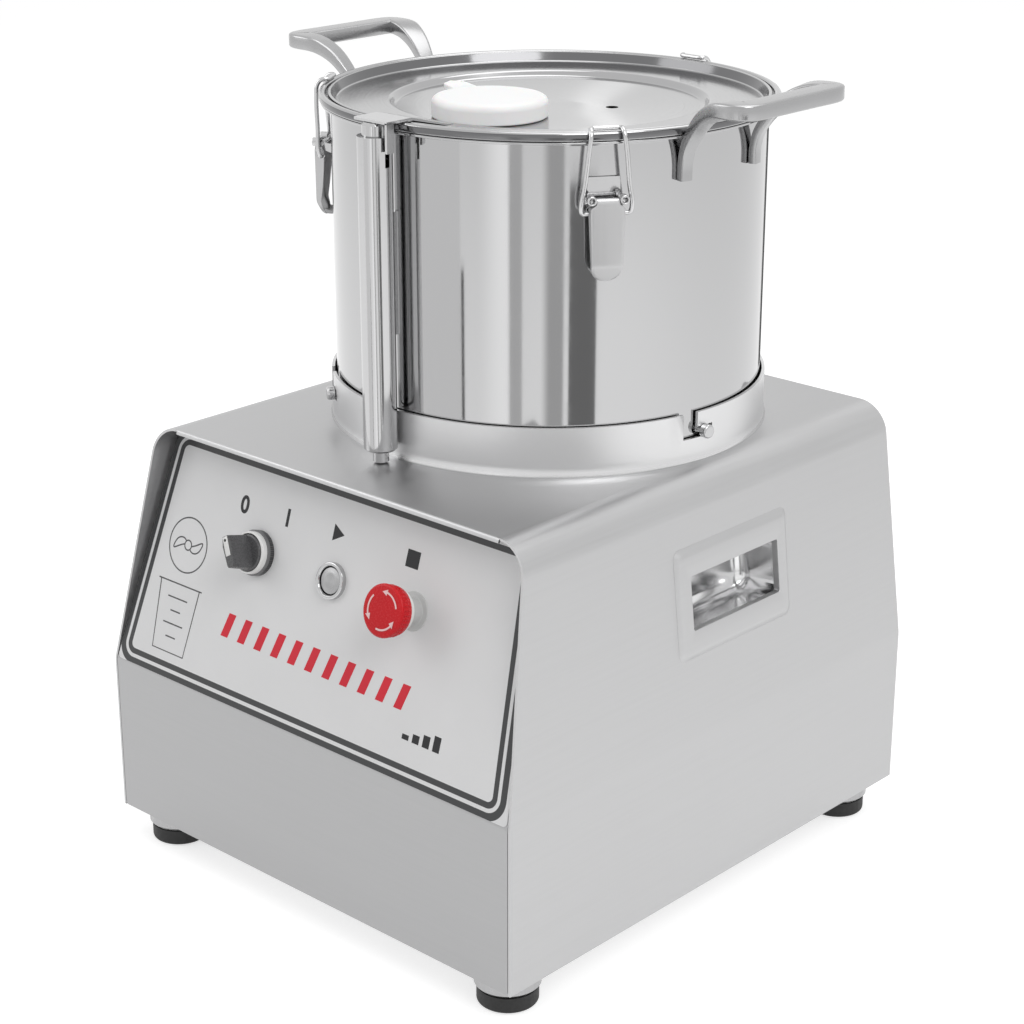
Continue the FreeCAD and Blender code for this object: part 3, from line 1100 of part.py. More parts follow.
os.makedirs("parts", exist_ok=True)
pieces = [item for item in doc.Objects if item.TypeId in ("PartDesign::Body", "Part::Feature")]
for item in pieces:
    if item.Shape.isNull() or not item.Shape.isValid():
        raise ValueError("%s has no sound shape" % item.Label)
for item in pieces:
    item.Shape.exportStep("parts/%s.step" % item.Label)
print(len(pieces), "nodes")
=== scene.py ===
import math
import bmesh
import bpy
from mathutils import Matrix, Vector


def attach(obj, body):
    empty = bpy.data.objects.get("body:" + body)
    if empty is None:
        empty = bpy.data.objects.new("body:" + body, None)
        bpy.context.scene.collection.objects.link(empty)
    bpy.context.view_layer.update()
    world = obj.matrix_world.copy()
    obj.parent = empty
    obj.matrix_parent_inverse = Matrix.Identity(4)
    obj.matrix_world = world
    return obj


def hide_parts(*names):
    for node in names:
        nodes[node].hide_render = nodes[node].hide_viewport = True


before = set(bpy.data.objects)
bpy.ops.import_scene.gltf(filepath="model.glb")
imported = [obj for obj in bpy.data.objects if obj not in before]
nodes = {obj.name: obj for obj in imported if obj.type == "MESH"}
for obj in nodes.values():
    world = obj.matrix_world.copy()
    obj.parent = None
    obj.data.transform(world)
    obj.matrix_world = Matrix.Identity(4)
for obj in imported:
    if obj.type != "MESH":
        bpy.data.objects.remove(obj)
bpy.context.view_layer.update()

# sizes that several pieces share, in metres
topZ = 0.2774            # top sheet
bowlY = 0.033            # bowl axis behind the casing's middle
casing = dict(width=0.340, depth=0.370, foot=0.022, crease=0.125, topWidth=0.306, frontSetback=0.030,
              backSetback=0.006, bend=0.020, sheet=0.0015, seam=0.0004, tilt=math.radians(17.8))
sideSlope = (casing["width"] - casing["topWidth"]) / 2 / (topZ - casing["crease"])
panelUp = Vector((0, math.sin(casing["tilt"]), math.cos(casing["tilt"])))       # up the control panel
panelOut = Vector((0, -math.cos(casing["tilt"]), math.sin(casing["tilt"])))     # out of the control panel
panelFoot = Vector((0, -casing["depth"] / 2, casing["crease"]))                 # panel's crease, on the middle
controls = dict(up=0.096, selector=-0.062, start=0.0029, stop=0.069)
film = dict(low=0.0015, high=0.151, margin=0.0025, upperRound=0.008, lowerRound=0.003, thick=0.0004)


def onPanel(x, up, out=0.0):
    # a point of the control panel's face: across, up the slope from its crease, and off the sheet
    return panelFoot + Vector((x, 0, 0)) + panelUp * up + panelOut * out


def panelMatrix(x, up, out=0.0):
    # from a frame with z out of the panel to a place on the panel
    turned = Matrix((Vector((1, 0, 0)), panelUp, panelOut)).transposed().to_4x4()
    return Matrix.Translation(onPanel(x, up, out)) @ turned


# materials

def addNode(mat, kind, **inputs):
    node = mat.node_tree.nodes.new(kind)
    for socket, value in inputs.items():
        node.inputs[socket.replace("_", " ")].default_value = value
    return node


def join(mat, source, target):
    mat.node_tree.links.new(source, target)


def shaderOf(mat):
    return mat.node_tree.nodes["Principled BSDF"]


def setInput(mat, value, socket):
    join(mat, value, shaderOf(mat).inputs[socket])


def newMaterial(name, colour, metallic=0.0, roughness=0.5, **sockets):
    mat = bpy.data.materials.new(name)
    mat.use_nodes = True
    sockets = {"Base Color": (*colour, 1), "Metallic": metallic, "Roughness": roughness, **sockets}
    for socket, value in sockets.items():
        shaderOf(mat).inputs[socket.replace("_", " ")].default_value = value
    return mat


def mathNode(mat, operation, *values):
    node = mat.node_tree.nodes.new("ShaderNodeMath")
    node.operation = operation
    for socket, value in zip(node.inputs, values):
        if isinstance(value, (int, float)):
            socket.default_value = value
        else:
            join(mat, value, socket)
    return node.outputs[0]


def vectorNode(mat, operation, value, other=None):
    node = mat.node_tree.nodes.new("ShaderNodeVectorMath")
    node.operation = operation
    join(mat, value, node.inputs[0])
    if other is not None:
        node.inputs[1].default_value = other
    return node.outputs["Vector" if operation == "MULTIPLY" else "Value"]


def objectSpace(mat, scale=(1, 1, 1), location=(0, 0, 0)):
    place = mat.node_tree.nodes.new("ShaderNodeTexCoord")
    mapping = addNode(mat, "ShaderNodeMapping", Scale=scale, Location=location)
    join(mat, place.outputs["Object"], mapping.inputs["Vector"])
    return mapping.outputs["Vector"]


def splitAxes(mat, vector):
    node = mat.node_tree.nodes.new("ShaderNodeSeparateXYZ")
    join(mat, vector, node.inputs[0])
    return node.outputs


def noise(mat, vector, scale, detail=3.0, rough=0.5):
    node = addNode(mat, "ShaderNodeTexNoise", Scale=scale, Detail=detail, Roughness=rough)
    join(mat, vector, node.inputs["Vector"])
    return node.outputs["Fac"]


def ramp(mat, value, low, high, outLow, outHigh, smooth=False):
    node = addNode(mat, "ShaderNodeMapRange", From_Min=low, From_Max=high, To_Min=outLow, To_Max=outHigh)
    node.interpolation_type = "SMOOTHSTEP" if smooth else "LINEAR"
    join(mat, value, node.inputs["Value"])
    return node.outputs["Result"]


def tint(mat, value, first, second):
    # a colour between two, each a plain one or another node's output
    node = mat.node_tree.nodes.new("ShaderNodeMix")
    node.data_type = "RGBA"
    join(mat, value, node.inputs[0])
    for socket, colour in ((node.inputs[6], first), (node.inputs[7], second)):
        if isinstance(colour, bpy.types.NodeSocket):
            join(mat, colour, socket)
        else:
            socket.default_value = (*colour, 1)
    return node.outputs[2]


def bumpFrom(mat, height, strength, distance):
    node = addNode(mat, "ShaderNodeBump", Strength=strength, Distance=distance)
    join(mat, height, node.inputs["Height"])
    setInput(mat, node.outputs["Normal"], "Normal")


def steelMaterial(name, level, roughness, **sockets):
    return newMaterial(name, (level, level, level + 0.004), 1.0, roughness, **sockets)


def brushedSteel(name, level, roughness, along, grain=0.12, blotch=0.05, bump=0.12):
    # satin sheet: fine scratches that run along one axis, and a faint large unevenness
    mat = steelMaterial(name, level, roughness)
    scale = tuple(9.0 if axis == along else 420.0 for axis in "xyz")
    scratch = noise(mat, objectSpace(mat, scale), 1.0, 4.0, 0.6)
    cloud = noise(mat, objectSpace(mat), 14.0, 3.0, 0.55)
    both = mathNode(mat, "ADD", ramp(mat, scratch, 0.3, 0.7, -grain, grain),
                    ramp(mat, cloud, 0.3, 0.7, -blotch, blotch))
    setInput(mat, ramp(mat, both, -0.3, 0.3, roughness - 0.12, roughness + 0.12), "Roughness")
    darker, lighter = [(level * share, level * share, (level + 0.004) * share) for share in (0.93, 1.05)]
    setInput(mat, tint(mat, ramp(mat, both, -0.3, 0.3, 0, 1), darker, lighter), "Base Color")
    bumpFrom(mat, scratch, bump, 0.00002)
    return mat


def polishedSteel(name, level, roughness=0.07, smear=0.04):
    mat = steelMaterial(name, level, roughness)
    streak = noise(mat, objectSpace(mat, (60, 60, 4)), 1.0, 4.0, 0.6)
    spots = noise(mat, objectSpace(mat), 55.0, 5.0, 0.6)
    both = mathNode(mat, "ADD", ramp(mat, streak, 0.35, 0.7, 0, smear), ramp(mat, spots, 0.45, 0.75, 0, smear))
    setInput(mat, ramp(mat, both, 0, 2 * smear, roughness, roughness + 2 * smear), "Roughness")
    bumpFrom(mat, streak, 0.05, 0.00004)
    return mat


def spunSteel(name, level, roughness, grain=0.08, centre=(0, bowlY, 0), way="Z"):
    # turned or spun metal: fine rings round an axis, by default the upright one through the bowl
    mat = steelMaterial(name, level, roughness, Anisotropic=0.55)
    tangent = mat.node_tree.nodes.new("ShaderNodeTangent")
    tangent.direction_type = "RADIAL"
    tangent.axis = way
    setInput(mat, tangent.outputs["Tangent"], "Tangent")
    place = objectSpace(mat, location=tuple(-c for c in centre))
    flat = vectorNode(mat, "MULTIPLY", place, (1, 1, 0) if way == "Z" else (1, 0, 1))
    rings = addNode(mat, "ShaderNodeTexNoise", Scale=900.0, Detail=4.0)
    rings.noise_dimensions = "1D"
    join(mat, vectorNode(mat, "LENGTH", flat), rings.inputs["W"])
    setInput(mat, ramp(mat, rings.outputs["Fac"], 0.3, 0.7, roughness - grain, roughness + grain), "Roughness")
    bumpFrom(mat, rings.outputs["Fac"], 0.1, 0.00002)
    return mat


def plastic(name, colour, roughness, mottle=0.05, grain=900.0, bump=0.15, **sockets):
    mat = newMaterial(name, colour, 0.0, roughness, **sockets)
    fine = noise(mat, objectSpace(mat), grain)
    broad = noise(mat, objectSpace(mat), 30.0)
    darker, lighter = [[c * (1 - mottle) for c in colour], [min(1, c * (1 + mottle)) for c in colour]]
    setInput(mat, tint(mat, ramp(mat, broad, 0.3, 0.7, 0, 1), darker, lighter), "Base Color")
    setInput(mat, ramp(mat, fine, 0.3, 0.7, max(0.03, roughness - 0.06), roughness + 0.06), "Roughness")
    bumpFrom(mat, fine, bump, 0.00003)
    return mat


prints = dict(shift=0.0016, outer=0.0033, bottom=0.0009, top=0.1547, corner=0.014, dark=(0.034, 0.035, 0.037),
              light=(0.76, 0.76, 0.765), soft=0.00014, bands=(0.0, 0.0042, 0.0066, 0.0100), low=-0.004, span=0.018)


def filmPrint():
    # pale film with a dark double border: each point's distance inwards from the border's rounded outline
    mat = plastic("filmPrint", prints["light"], 0.40, 0.012, 1400.0, 0.04)
    place = objectSpace(mat, location=tuple(-panelFoot))
    up = vectorNode(mat, "DOT_PRODUCT", place, panelUp)
    reach = mathNode(mat, "MULTIPLY_ADD", up, -sideSlope * math.cos(casing["tilt"]),
                     casing["width"] / 2 - prints["outer"])
    aside = mathNode(mat, "ABSOLUTE", mathNode(mat, "ADD", splitAxes(mat, place)["X"], prints["shift"]))
    fromSide = mathNode(mat, "SUBTRACT", reach, aside)
    fromEnds = mathNode(mat, "MINIMUM", mathNode(mat, "SUBTRACT", up, prints["bottom"]),
                        mathNode(mat, "SUBTRACT", prints["top"], up))
    squares = []
    for inwards in (fromSide, fromEnds):
        lack = mathNode(mat, "MAXIMUM", mathNode(mat, "SUBTRACT", prints["corner"], inwards), 0.0)
        squares.append(mathNode(mat, "MULTIPLY", lack, lack))
    inwards = mathNode(mat, "SUBTRACT", prints["corner"], mathNode(mat, "SQRT", mathNode(mat, "ADD", *squares)))
    low, span, soft = prints["low"], prints["span"], prints["soft"]
    bands = mat.node_tree.nodes.new("ShaderNodeValToRGB")
    stops = bands.color_ramp.elements
    first, second, third, fourth = prints["bands"]
    rows = [(first - soft, 0), (first, 1), (second, 1), (second + soft, 0), (third - soft, 0), (third, 1),
            (fourth, 1), (fourth + soft, 0)]
    while len(stops) < len(rows):
        stops.new(0.5)
    for stop, (where, level) in zip(stops, rows):
        stop.position = (where - low) / span
        stop.color = (level, level, level, 1)
    join(mat, ramp(mat, inwards, low, low + span, 0, 1), bands.inputs["Fac"])
    paper = shaderOf(mat).inputs["Base Color"].links[0].from_socket
    setInput(mat, tint(mat, bands.outputs["Color"], paper, prints["dark"]), "Base Color")
    return mat


steel = dict(
    # casing and side are one brushed stainless at two levels: painted shade darkens the front, rear and base sheets,
    # and painted light brightens the cover's sides and top
    casing=brushedSteel("shadedCasingSteel", 0.39, 0.36, "x"),
    side=brushedSteel("litSideSteel", 0.50, 0.38, "y"),
    # the collar's level is raised as painted light, in place of the highlight across its middle
    collar=spunSteel("collarSteelPaintedLight", 0.68, 0.30),
    bowl=polishedSteel("bowlSteel", 0.48, 0.05, 0.03),
    inside=spunSteel("insideSteel", 0.76, 0.34, grain=0.04),
    lid=spunSteel("lidSteel", 0.43, 0.12, grain=0.03),
    # a dark copy of the lid's steel for its upright faces: painted shade and painted dark reflection
    wall=polishedSteel("wallSteelPaintedShade", 0.17, 0.10, 0.05),
    cup=polishedSteel("cupSteel", 0.78, 0.14, 0.04),
    polished=polishedSteel("polishedSteel", 0.52, 0.08, 0.04),
    cast=brushedSteel("castSteel", 0.40, 0.24, "z", grain=0.02, blotch=0.10, bump=0.015),
    wire=polishedSteel("wireSteel", 0.58, 0.12, 0.05),
    lever=brushedSteel("leverSteel", 0.50, 0.40, "z", grain=0.06),
    ground=brushedSteel("groundSteel", 0.58, 0.22, "x"),
    ledge=brushedSteel("tabSteel", 0.56, 0.22, "x", grain=0.04),
    button=spunSteel("buttonSteel", 0.36, 0.30, grain=0.04, way="Y",
                     centre=onPanel(controls["start"], controls["up"], film["thick"])),
    foot=spunSteel("footSteel", 0.42, 0.34),
)
paint = dict(
    film=filmPrint(),
    black=plastic("blackPlastic", (0.035, 0.035, 0.037), 0.34),
    knob=plastic("knobPlastic", (0.085, 0.085, 0.088), 0.28, 0.04),
    neck=plastic("neckPlastic", (0.55, 0.55, 0.545), 0.42),
    grey=plastic("greyPlastic", (0.15, 0.15, 0.155), 0.40),
    white=plastic("whitePlastic", (0.80, 0.80, 0.79), 0.32),
    cap=plastic("capPlastic", (0.86, 0.86, 0.86), 0.36, 0.01, 700.0, 0.08, Subsurface_Weight=0.15,
                Subsurface_Scale=0.004),
    red=plastic("redPlastic", (0.60, 0.008, 0.014), 0.26, 0.06, Specular_IOR_Level=0.25),
    rubber=plastic("footRubber", (0.018, 0.018, 0.018), 0.62, 0.1, 500.0, 0.4),
    enamel=plastic("motorEnamel", (0.10, 0.12, 0.14), 0.38, 0.06, 260.0, 0.5),
    ink=plastic("darkInk", (0.020, 0.020, 0.022), 0.45, 0.08, 1500.0, 0.05, Specular_IOR_Level=0.3),
    thinInk=plastic("thinInk", (0.065, 0.065, 0.068), 0.5, 0.08, 1500.0, 0.05),
    redInk=plastic("redInk", (0.66, 0.020, 0.040), 0.42, 0.06, 1500.0, 0.05, Specular_IOR_Level=0.3),
    paleInk=plastic("paleInk", (0.86, 0.58, 0.58), 0.40, 0.05, 1500.0, 0.05),
    iron=plastic("coreIron", (0.20, 0.14, 0.09), 0.5, 0.2, 700.0, 0.5),
)
print("materials made:", len(steel) + len(paint))

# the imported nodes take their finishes
finishes = {
    steel["casing"]: ["front_panel", "rear_panel", "base_tray", "motor_plate"],
    steel["side"]: ["housing_cover", "grip_pocket_right", "grip_pocket_left"],
    steel["collar"]: ["bowl_collar"],
    steel["bowl"]: ["bowl_shell", "bowl_chimney"],
    steel["lid"]: ["lid"],
    steel["polished"]: ["lid_tab", "rod_tube", "safety_rod", "bayonet_studs", "latch_brackets", "latch_lever_front",
                        "latch_lever_left", "latch_lever_back", "latch_bail_front", "latch_bail_left",
                        "latch_bail_back", "rod_spring", "panel_screws", "start_ring", "barrel_nuts"],
    steel["cast"]: ["handle_right", "handle_left"],
    steel["ground"]: ["drive_shaft", "motor_bearings", "motor_bolts", "knife_hub", "knife_blades", "run_capacitor",
                      "start_button"],
    steel["foot"]: ["foot_cups"],
    paint["film"]: ["control_film"],
    paint["black"]: ["selector_barrel", "selector_knob", "stop_foot", "stop_stem", "knife_nut", "cable_gland"],
    paint["grey"]: ["contact_blocks", "motor_contactor", "lid_sensor", "cooling_fan"],
    paint["white"]: ["selector_ring"],
    paint["cap"]: ["feed_cap"],
    paint["red"]: ["stop_head"],
    paint["rubber"]: ["foot_pads", "lid_seal", "shaft_seal"],
    paint["enamel"]: ["motor_shell", "motor_upper_bell", "motor_lower_bell", "fan_cowl"],
    paint["iron"]: ["motor_stator", "motor_rotor"],
}
for mat, names in finishes.items():
    for name in names:
        nodes[name].data.materials.clear()
        nodes[name].data.materials.append(mat)
print("nodes finished:", sum(len(names) for names in finishes.values()))

# helpers that make the pieces

def linked(name, data):
    thing = bpy.data.objects.new(name, data)
    bpy.context.scene.collection.objects.link(thing)
    return thing


def meshOf(bm, name, mats):
    mesh = bpy.data.meshes.new(name)
    bm.to_mesh(mesh)
    bm.free()
    for mat in mats:
        mesh.materials.append(mat)
    return mesh


def keep(bm, name, body, mats, replaced=(), sharp=38, wall=0.0):
    # mend the seams, turn the faces outwards, and hand the mesh over as a piece that rides on its body
    bmesh.ops.remove_doubles(bm, verts=bm.verts, dist=2e-6)
    bmesh.ops.recalc_face_normals(bm, faces=bm.faces)
    if wall:
        bmesh.ops.solidify(bm, geom=bm.faces[:], thickness=wall)      # a sheet grows inwards from its outer face
    mesh = meshOf(bm, name, mats if isinstance(mats, list) else [mats])
    mesh.polygons.foreach_set("use_smooth", [True] * len(mesh.polygons))
    mesh.set_sharp_from_angle(angle=math.radians(sharp))
    piece = linked(name, mesh)
    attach(piece, body)
    for node in replaced:
        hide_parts(node)
    return piece


def ease(piece, width, segments=2):
    soft = piece.modifiers.new("edges", "BEVEL")
    soft.width = width
    soft.segments = segments
    soft.limit_method = "ANGLE"
    soft.angle_limit = math.radians(40)
    soft.harden_normals = True


def lastVerts(done):
    return [g for g in done["geom"] if isinstance(g, bmesh.types.BMVert)]


def lastEdges(done):
    return [g for g in done["geom"] if isinstance(g, bmesh.types.BMEdge)]


def slide(bm, verts, vec):
    bmesh.ops.translate(bm, verts=verts, vec=vec)


def lay(bm, matrix):
    bmesh.ops.transform(bm, matrix=matrix, verts=bm.verts)


def soften(bm, geom, offset, segments, affect="EDGES"):
    bmesh.ops.bevel(bm, geom=geom, offset=offset, offset_type="OFFSET", segments=segments, profile=0.5,
                    affect=affect, material=-1)


def bentLine(bm, points, closed=False, segments=5, hold=0.0):
    # a line through (x, y, z, corner radius), each corner rounded; hold puts a point near both ends of each
    # straight run, so that the run stays flat where the shading is smooth
    spots = [Vector(p[:3]) for p in points]
    verts = [bm.verts.new(p) for p in spots]
    for a, b in list(zip(verts, verts[1:])) + ([(verts[-1], verts[0])] if closed else []):
        bm.edges.new((a, b))
    count = len(points)
    for i, point in enumerate(points):
        if len(point) < 4 or not point[3] or (not closed and i in (0, count - 1)):
            continue
        before = spots[i] - spots[i - 1]
        after = spots[(i + 1) % count] - spots[i]
        soften(bm, [verts[i]], point[3] * math.tan(before.angle(after) / 2), segments, "VERTICES")
    for edge in [e for e in bm.edges if hold and e.calc_length() > hold * 5]:
        share = hold / edge.calc_length()
        near, far = edge.verts
        added = bmesh.utils.edge_split(edge, near, share)[1]
        rest = next(e for e in added.link_edges if far in e.verts)
        bmesh.utils.edge_split(rest, far, share)
    return bm.edges[:]


def flatFace(bm, points, segments=4):
    # an outline filled with one face, apart from what the mesh already holds
    before = set(bm.verts)
    bentLine(bm, points, closed=True, segments=segments)
    outline = [e for e in bm.edges if e.verts[0] not in before]
    return bmesh.ops.contextual_create(bm, geom=outline)["faces"]


def spinRound(bm, steps):
    bmesh.ops.spin(bm, geom=bm.verts[:] + bm.edges[:], cent=(0, 0, 0), axis=(0, 0, 1), angle=math.tau,
                   steps=steps, use_merge=True)


def turn(profile, steps=128, closed=True, segments=4, centre=(0, bowlY, 0), hold=0.0):
    # a profile of (radius, height, corner radius) spun round the upright axis
    bm = bmesh.new()
    bentLine(bm, [(p[0], 0, *p[1:]) for p in profile], closed, segments, hold)
    spinRound(bm, steps)
    bmesh.ops.remove_doubles(bm, verts=bm.verts, dist=1e-6)
    slide(bm, bm.verts, centre)
    return bm


def everything(bm):
    return bm.verts[:] + bm.edges[:] + bm.faces[:]


def splitAt(bm, spot, way, drop=False):
    bmesh.ops.bisect_plane(bm, geom=everything(bm), dist=1e-6, plane_co=spot, plane_no=way, clear_outer=drop)


def splitFace(bm, face, spot, way):
    done = bmesh.ops.bisect_plane(bm, geom=[face] + face.edges[:] + face.verts[:], dist=1e-7, plane_co=spot,
                                  plane_no=way)
    return [f for f in done["geom"] if isinstance(f, bmesh.types.BMFace)]


def outsideBy(face, spot):
    # how far the spot lies outside a flat convex face; below zero means inside it
    face.normal_update()
    centre = face.calc_center_median()
    worst = -1.0
    for loop in face.loops:
        a, b = loop.vert.co, loop.link_loop_next.vert.co
        way = (b - a).cross(face.normal)
        if way.dot(centre - a) > 0:
            way = -way
        if way.length > 1e-9:
            worst = max(worst, way.normalized().dot(spot - a))
    return worst


def cutHole(bm, faces, centre, radius, up=(0, 1, 0), sides=40):
    # trims the flat face that holds the centre by planes round the hole, then takes out the middle
    centre = Vector(centre)
    inner = min(faces, key=lambda f: outsideBy(f, centre))
    for i in range(sides):
        angle = math.tau * i / sides
        way = Vector((1, 0, 0)) * math.cos(angle) + Vector(up) * math.sin(angle)
        parts = splitFace(bm, inner, centre + way * radius, way)
        inner = min(parts, key=lambda f: (f.calc_center_median() - centre).dot(way))
    bmesh.ops.delete(bm, geom=[inner], context="FACES")


def sweep(bm, stations, sides=None, rounding=0.25):
    # stations are (middle, sideways, width, thickness): a rounded bar, or round wire where sides is given
    if sides:
        bmesh.ops.create_circle(bm, segments=sides, radius=0.5, cap_ends=True)
    else:
        bmesh.ops.create_grid(bm, x_segments=1, y_segments=1, size=0.5)
        soften(bm, bm.verts[:], rounding, 4, "VERTICES")
    face = bm.faces[:][0]
    section = [v.co.copy() for v in face.verts]
    count = len(stations)
    spots = section
    inside = []
    for i, (middle, sideways, width, thick) in enumerate(stations):
        along = (Vector(stations[min(i + 1, count - 1)][0]) - Vector(stations[max(i - 1, 0)][0])).normalized()
        side = Vector(sideways)
        side = (side - along * side.dot(along)).normalized()
        out = side.cross(along)
        if i:
            inside.append(face)
            raised = bmesh.ops.extrude_face_region(bm, geom=[face])["geom"]
            face = next(g for g in raised if isinstance(g, bmesh.types.BMFace))
        order = [nearest(spots, v.co) for v in face.verts]
        spots = [Vector(middle) + side * (p.x * width) + out * (p.y * thick) for p in section]
        for vert, k in zip(face.verts, order):
            vert.co = spots[k]
    bmesh.ops.delete(bm, geom=[f for f in inside[1:] if f.is_valid], context="FACES_ONLY")


def nearest(spots, spot):
    return min(range(len(spots)), key=lambda k: (spots[k] - spot).length)


def through(points, count):
    # a smooth line through rows of numbers
    rows = [list(p) for p in points]
    rows = [[2 * a - b for a, b in zip(rows[0], rows[1])]] + rows + [[2 * a - b for a, b in zip(rows[-1], rows[-2])]]
    made = []
    for a, b, c, d in zip(rows, rows[1:], rows[2:], rows[3:]):
        for i in range(count):
            t = i / count
            made.append([q + (r - p) * 0.5 * (t - 2 * t * t + t ** 3) + (r - q) * (3 * t * t - 2 * t ** 3)
                         + (s - q) * 0.5 * (t ** 3 - t * t) for p, q, r, s in zip(a, b, c, d)])
    made.append(rows[-2])
    return made


# the casing
grip = dict(y=0.018, z=0.2065, length=0.082, high=0.033, wall=0.0012, depth=0.030, corner=0.0015, lipDepth=0.0019,
            lipSoft=0.0005, frameLength=0.106, frameHigh=0.068, frameProud=0.0026, frameCorner=0.005,
            frameSlope=0.0075, frameSoft=0.0020, cupLength=0.0884, cupHigh=0.0394, inner=0.011, step=0.0004)
cover = dict(lip=0.003, fold=0.0013, creaseRadius=0.05, edge=0.00035, shaftHole=0.0244)


def halfWidth(z):
    # the casing's half width at a height
    return casing["width"] / 2 - max(0, z - casing["crease"]) * sideSlope


def makeCover():
    bm = bmesh.new()
    half, topHalf, depth = casing["width"] / 2, casing["topWidth"] / 2, casing["depth"]
    foot, crease, bend = casing["foot"], casing["crease"], casing["bend"]
    line = bentLine(bm, [(-half, 0, foot), (-half, 0, crease, cover["creaseRadius"]), (-topHalf, 0, topZ, bend),
                         (topHalf, 0, topZ, bend), (half, 0, crease, cover["creaseRadius"]), (half, 0, foot)],
                    segments=10, hold=0.001)
    slide(bm, bm.verts, (0, -depth / 2, 0))
    slide(bm, lastVerts(bmesh.ops.extrude_edge_only(bm, edges=line)), (0, depth, 0))
    rise = topZ - crease
    splitAt(bm, (0, -depth / 2, crease), (0, -rise, casing["frontSetback"]), drop=True)
    splitAt(bm, (0, depth / 2, crease), (0, rise, casing["backSetback"]), drop=True)

    # openings for the grips and the shaft
    reachY, reachZ = [grip[key] / 2 + grip["wall"] + casing["seam"] for key in ("length", "high")]
    for way in (-1, 1):
        splitAt(bm, (0, grip["y"] + way * reachY, 0), (0, 1, 0))
        splitAt(bm, (0, 0, grip["z"] + way * reachZ), (0, 0, 1))
    hand = []
    for face in bm.faces:
        x, y, z = face.calc_center_median()
        if abs(x) > topHalf - bend and abs(y - grip["y"]) < reachY and abs(z - grip["z"]) < reachZ:
            hand.append(face)
    bmesh.ops.delete(bm, geom=hand, context="FACES")
    level = [f for f in bm.faces if f.calc_center_median().z > topZ - 1e-5]
    cutHole(bm, level, (0, bowlY, topZ), cover["shaftHole"])

    # the lip folded down along the top's front edge
    edge = [e for e in bm.edges if e.is_boundary and all(v.co.z > topZ - 1e-5 and v.co.y < -0.1 for v in e.verts)
            and abs(e.verts[0].co.x - e.verts[1].co.x) > 0.2]
    down = Vector((0, -casing["frontSetback"], -rise)).normalized() * cover["lip"]
    slide(bm, lastVerts(bmesh.ops.extrude_edge_only(bm, edges=edge)), down)
    soften(bm, edge, cover["fold"], 4)
    piece = keep(bm, "casingCover", "base", steel["side"], ["housing_cover"], wall=casing["sheet"])
    ease(piece, cover["edge"])


panel = dict(creaseSoft=0.0009, edge=0.0003, corner=0.002, selector=0.0110, start=0.0086, stop=0.0110)


def cutBarrels(bm, out):
    bm.normal_update()
    for control in ("selector", "start", "stop"):
        flat = [f for f in bm.faces if abs(f.normal.dot(panelOut)) > 0.99]
        cutHole(bm, flat, onPanel(controls[control], controls["up"], out), panel[control], panelUp)


def makePanel():
    bm = bmesh.new()
    inset = casing["sheet"] + casing["seam"]
    foot, crease, top = casing["foot"] + casing["seam"], casing["crease"], topZ - inset
    low, high = casing["width"] / 2 - inset, halfWidth(top) - inset / math.cos(math.atan(sideSlope))
    bend = casing["bend"] - inset
    flatFace(bm, [(-low, 0, foot, panel["corner"]), (low, 0, foot, panel["corner"]), (low, 0, crease),
                  (high, 0, top, bend), (-high, 0, top, bend), (-low, 0, crease)], 8)
    splitAt(bm, (0, 0, crease), (0, 0, 1))
    for vert in bm.verts:
        vert.co.y = panelFoot.y + max(0, vert.co.z - crease) * math.tan(casing["tilt"])
    cutBarrels(bm, 0)
    fold = [e for e in bm.edges if all(abs(v.co.z - crease) < 1e-5 for v in e.verts)]
    soften(bm, fold, panel["creaseSoft"], 3)
    piece = keep(bm, "frontPanelSheet", "base", steel["casing"], ["front_panel"], wall=casing["sheet"])
    ease(piece, panel["edge"])


def makeFilm():
    bm = bmesh.new()
    corners = []
    for up, side in (("low", -1), ("low", 1), ("high", 1), ("high", -1)):
        reach = halfWidth(onPanel(0, film[up]).z) - film["margin"]
        radius = film["lowerRound" if up == "low" else "upperRound"]
        corners.append((*onPanel(side * reach, film[up], film["thick"]), radius))
    flatFace(bm, corners, 8)
    cutBarrels(bm, film["thick"])
    keep(bm, "controlFilm", "base", paint["film"], ["control_film"], wall=film["thick"] * 0.9)


makeCover()
makePanel()
makeFilm()
print("casing made")

# the bowl's handles
handle = dict(spread=13.8, bar=0.1773, barZ=0.4908, barHigh=0.0090, rounding=0.15,
              # radius, height, width and thickness up a leg
              leg=[(0.1338, 0.4454, 0.0076, 0.0050), (0.1340, 0.4550, 0.0078, 0.0051),
                   (0.1366, 0.4646, 0.0086, 0.0054), (0.1432, 0.4745, 0.0104, 0.0060),
                   (0.1512, 0.4828, 0.0126, 0.0068), (0.1600, 0.4880, 0.0144, 0.0080),
                   (0.1684, 0.4903, 0.0152, 0.0089)],
              # set-back, distance from the middle, width and turn along half of the bar
              half=[(0.0030, 0.0406, 0.0146, -128), (0, 0.0340, 0.015, -176), (0, 0.018, 0.015, -180),
                    (0, 0.0, 0.015, -180)])


def handleStations(side):
    # from a leg's foot to the middle of the bar; side is the leg's own side
    angle = math.radians(handle["spread"]) * side
    points = [(radius * math.cos(angle), radius * math.sin(angle), z, wide, thick, angle - side * math.pi / 2)
              for radius, z, wide, thick in handle["leg"]]
    points += [(handle["bar"] - back, side * out, handle["barZ"], wide, handle["barHigh"], side * math.radians(way))
               for back, out, wide, way in handle["half"]]
    return [(Vector((x, y, z)), Vector((math.cos(way), math.sin(way), 0)), wide, thick)
            for x, y, z, wide, thick, way in through(points, 5)]


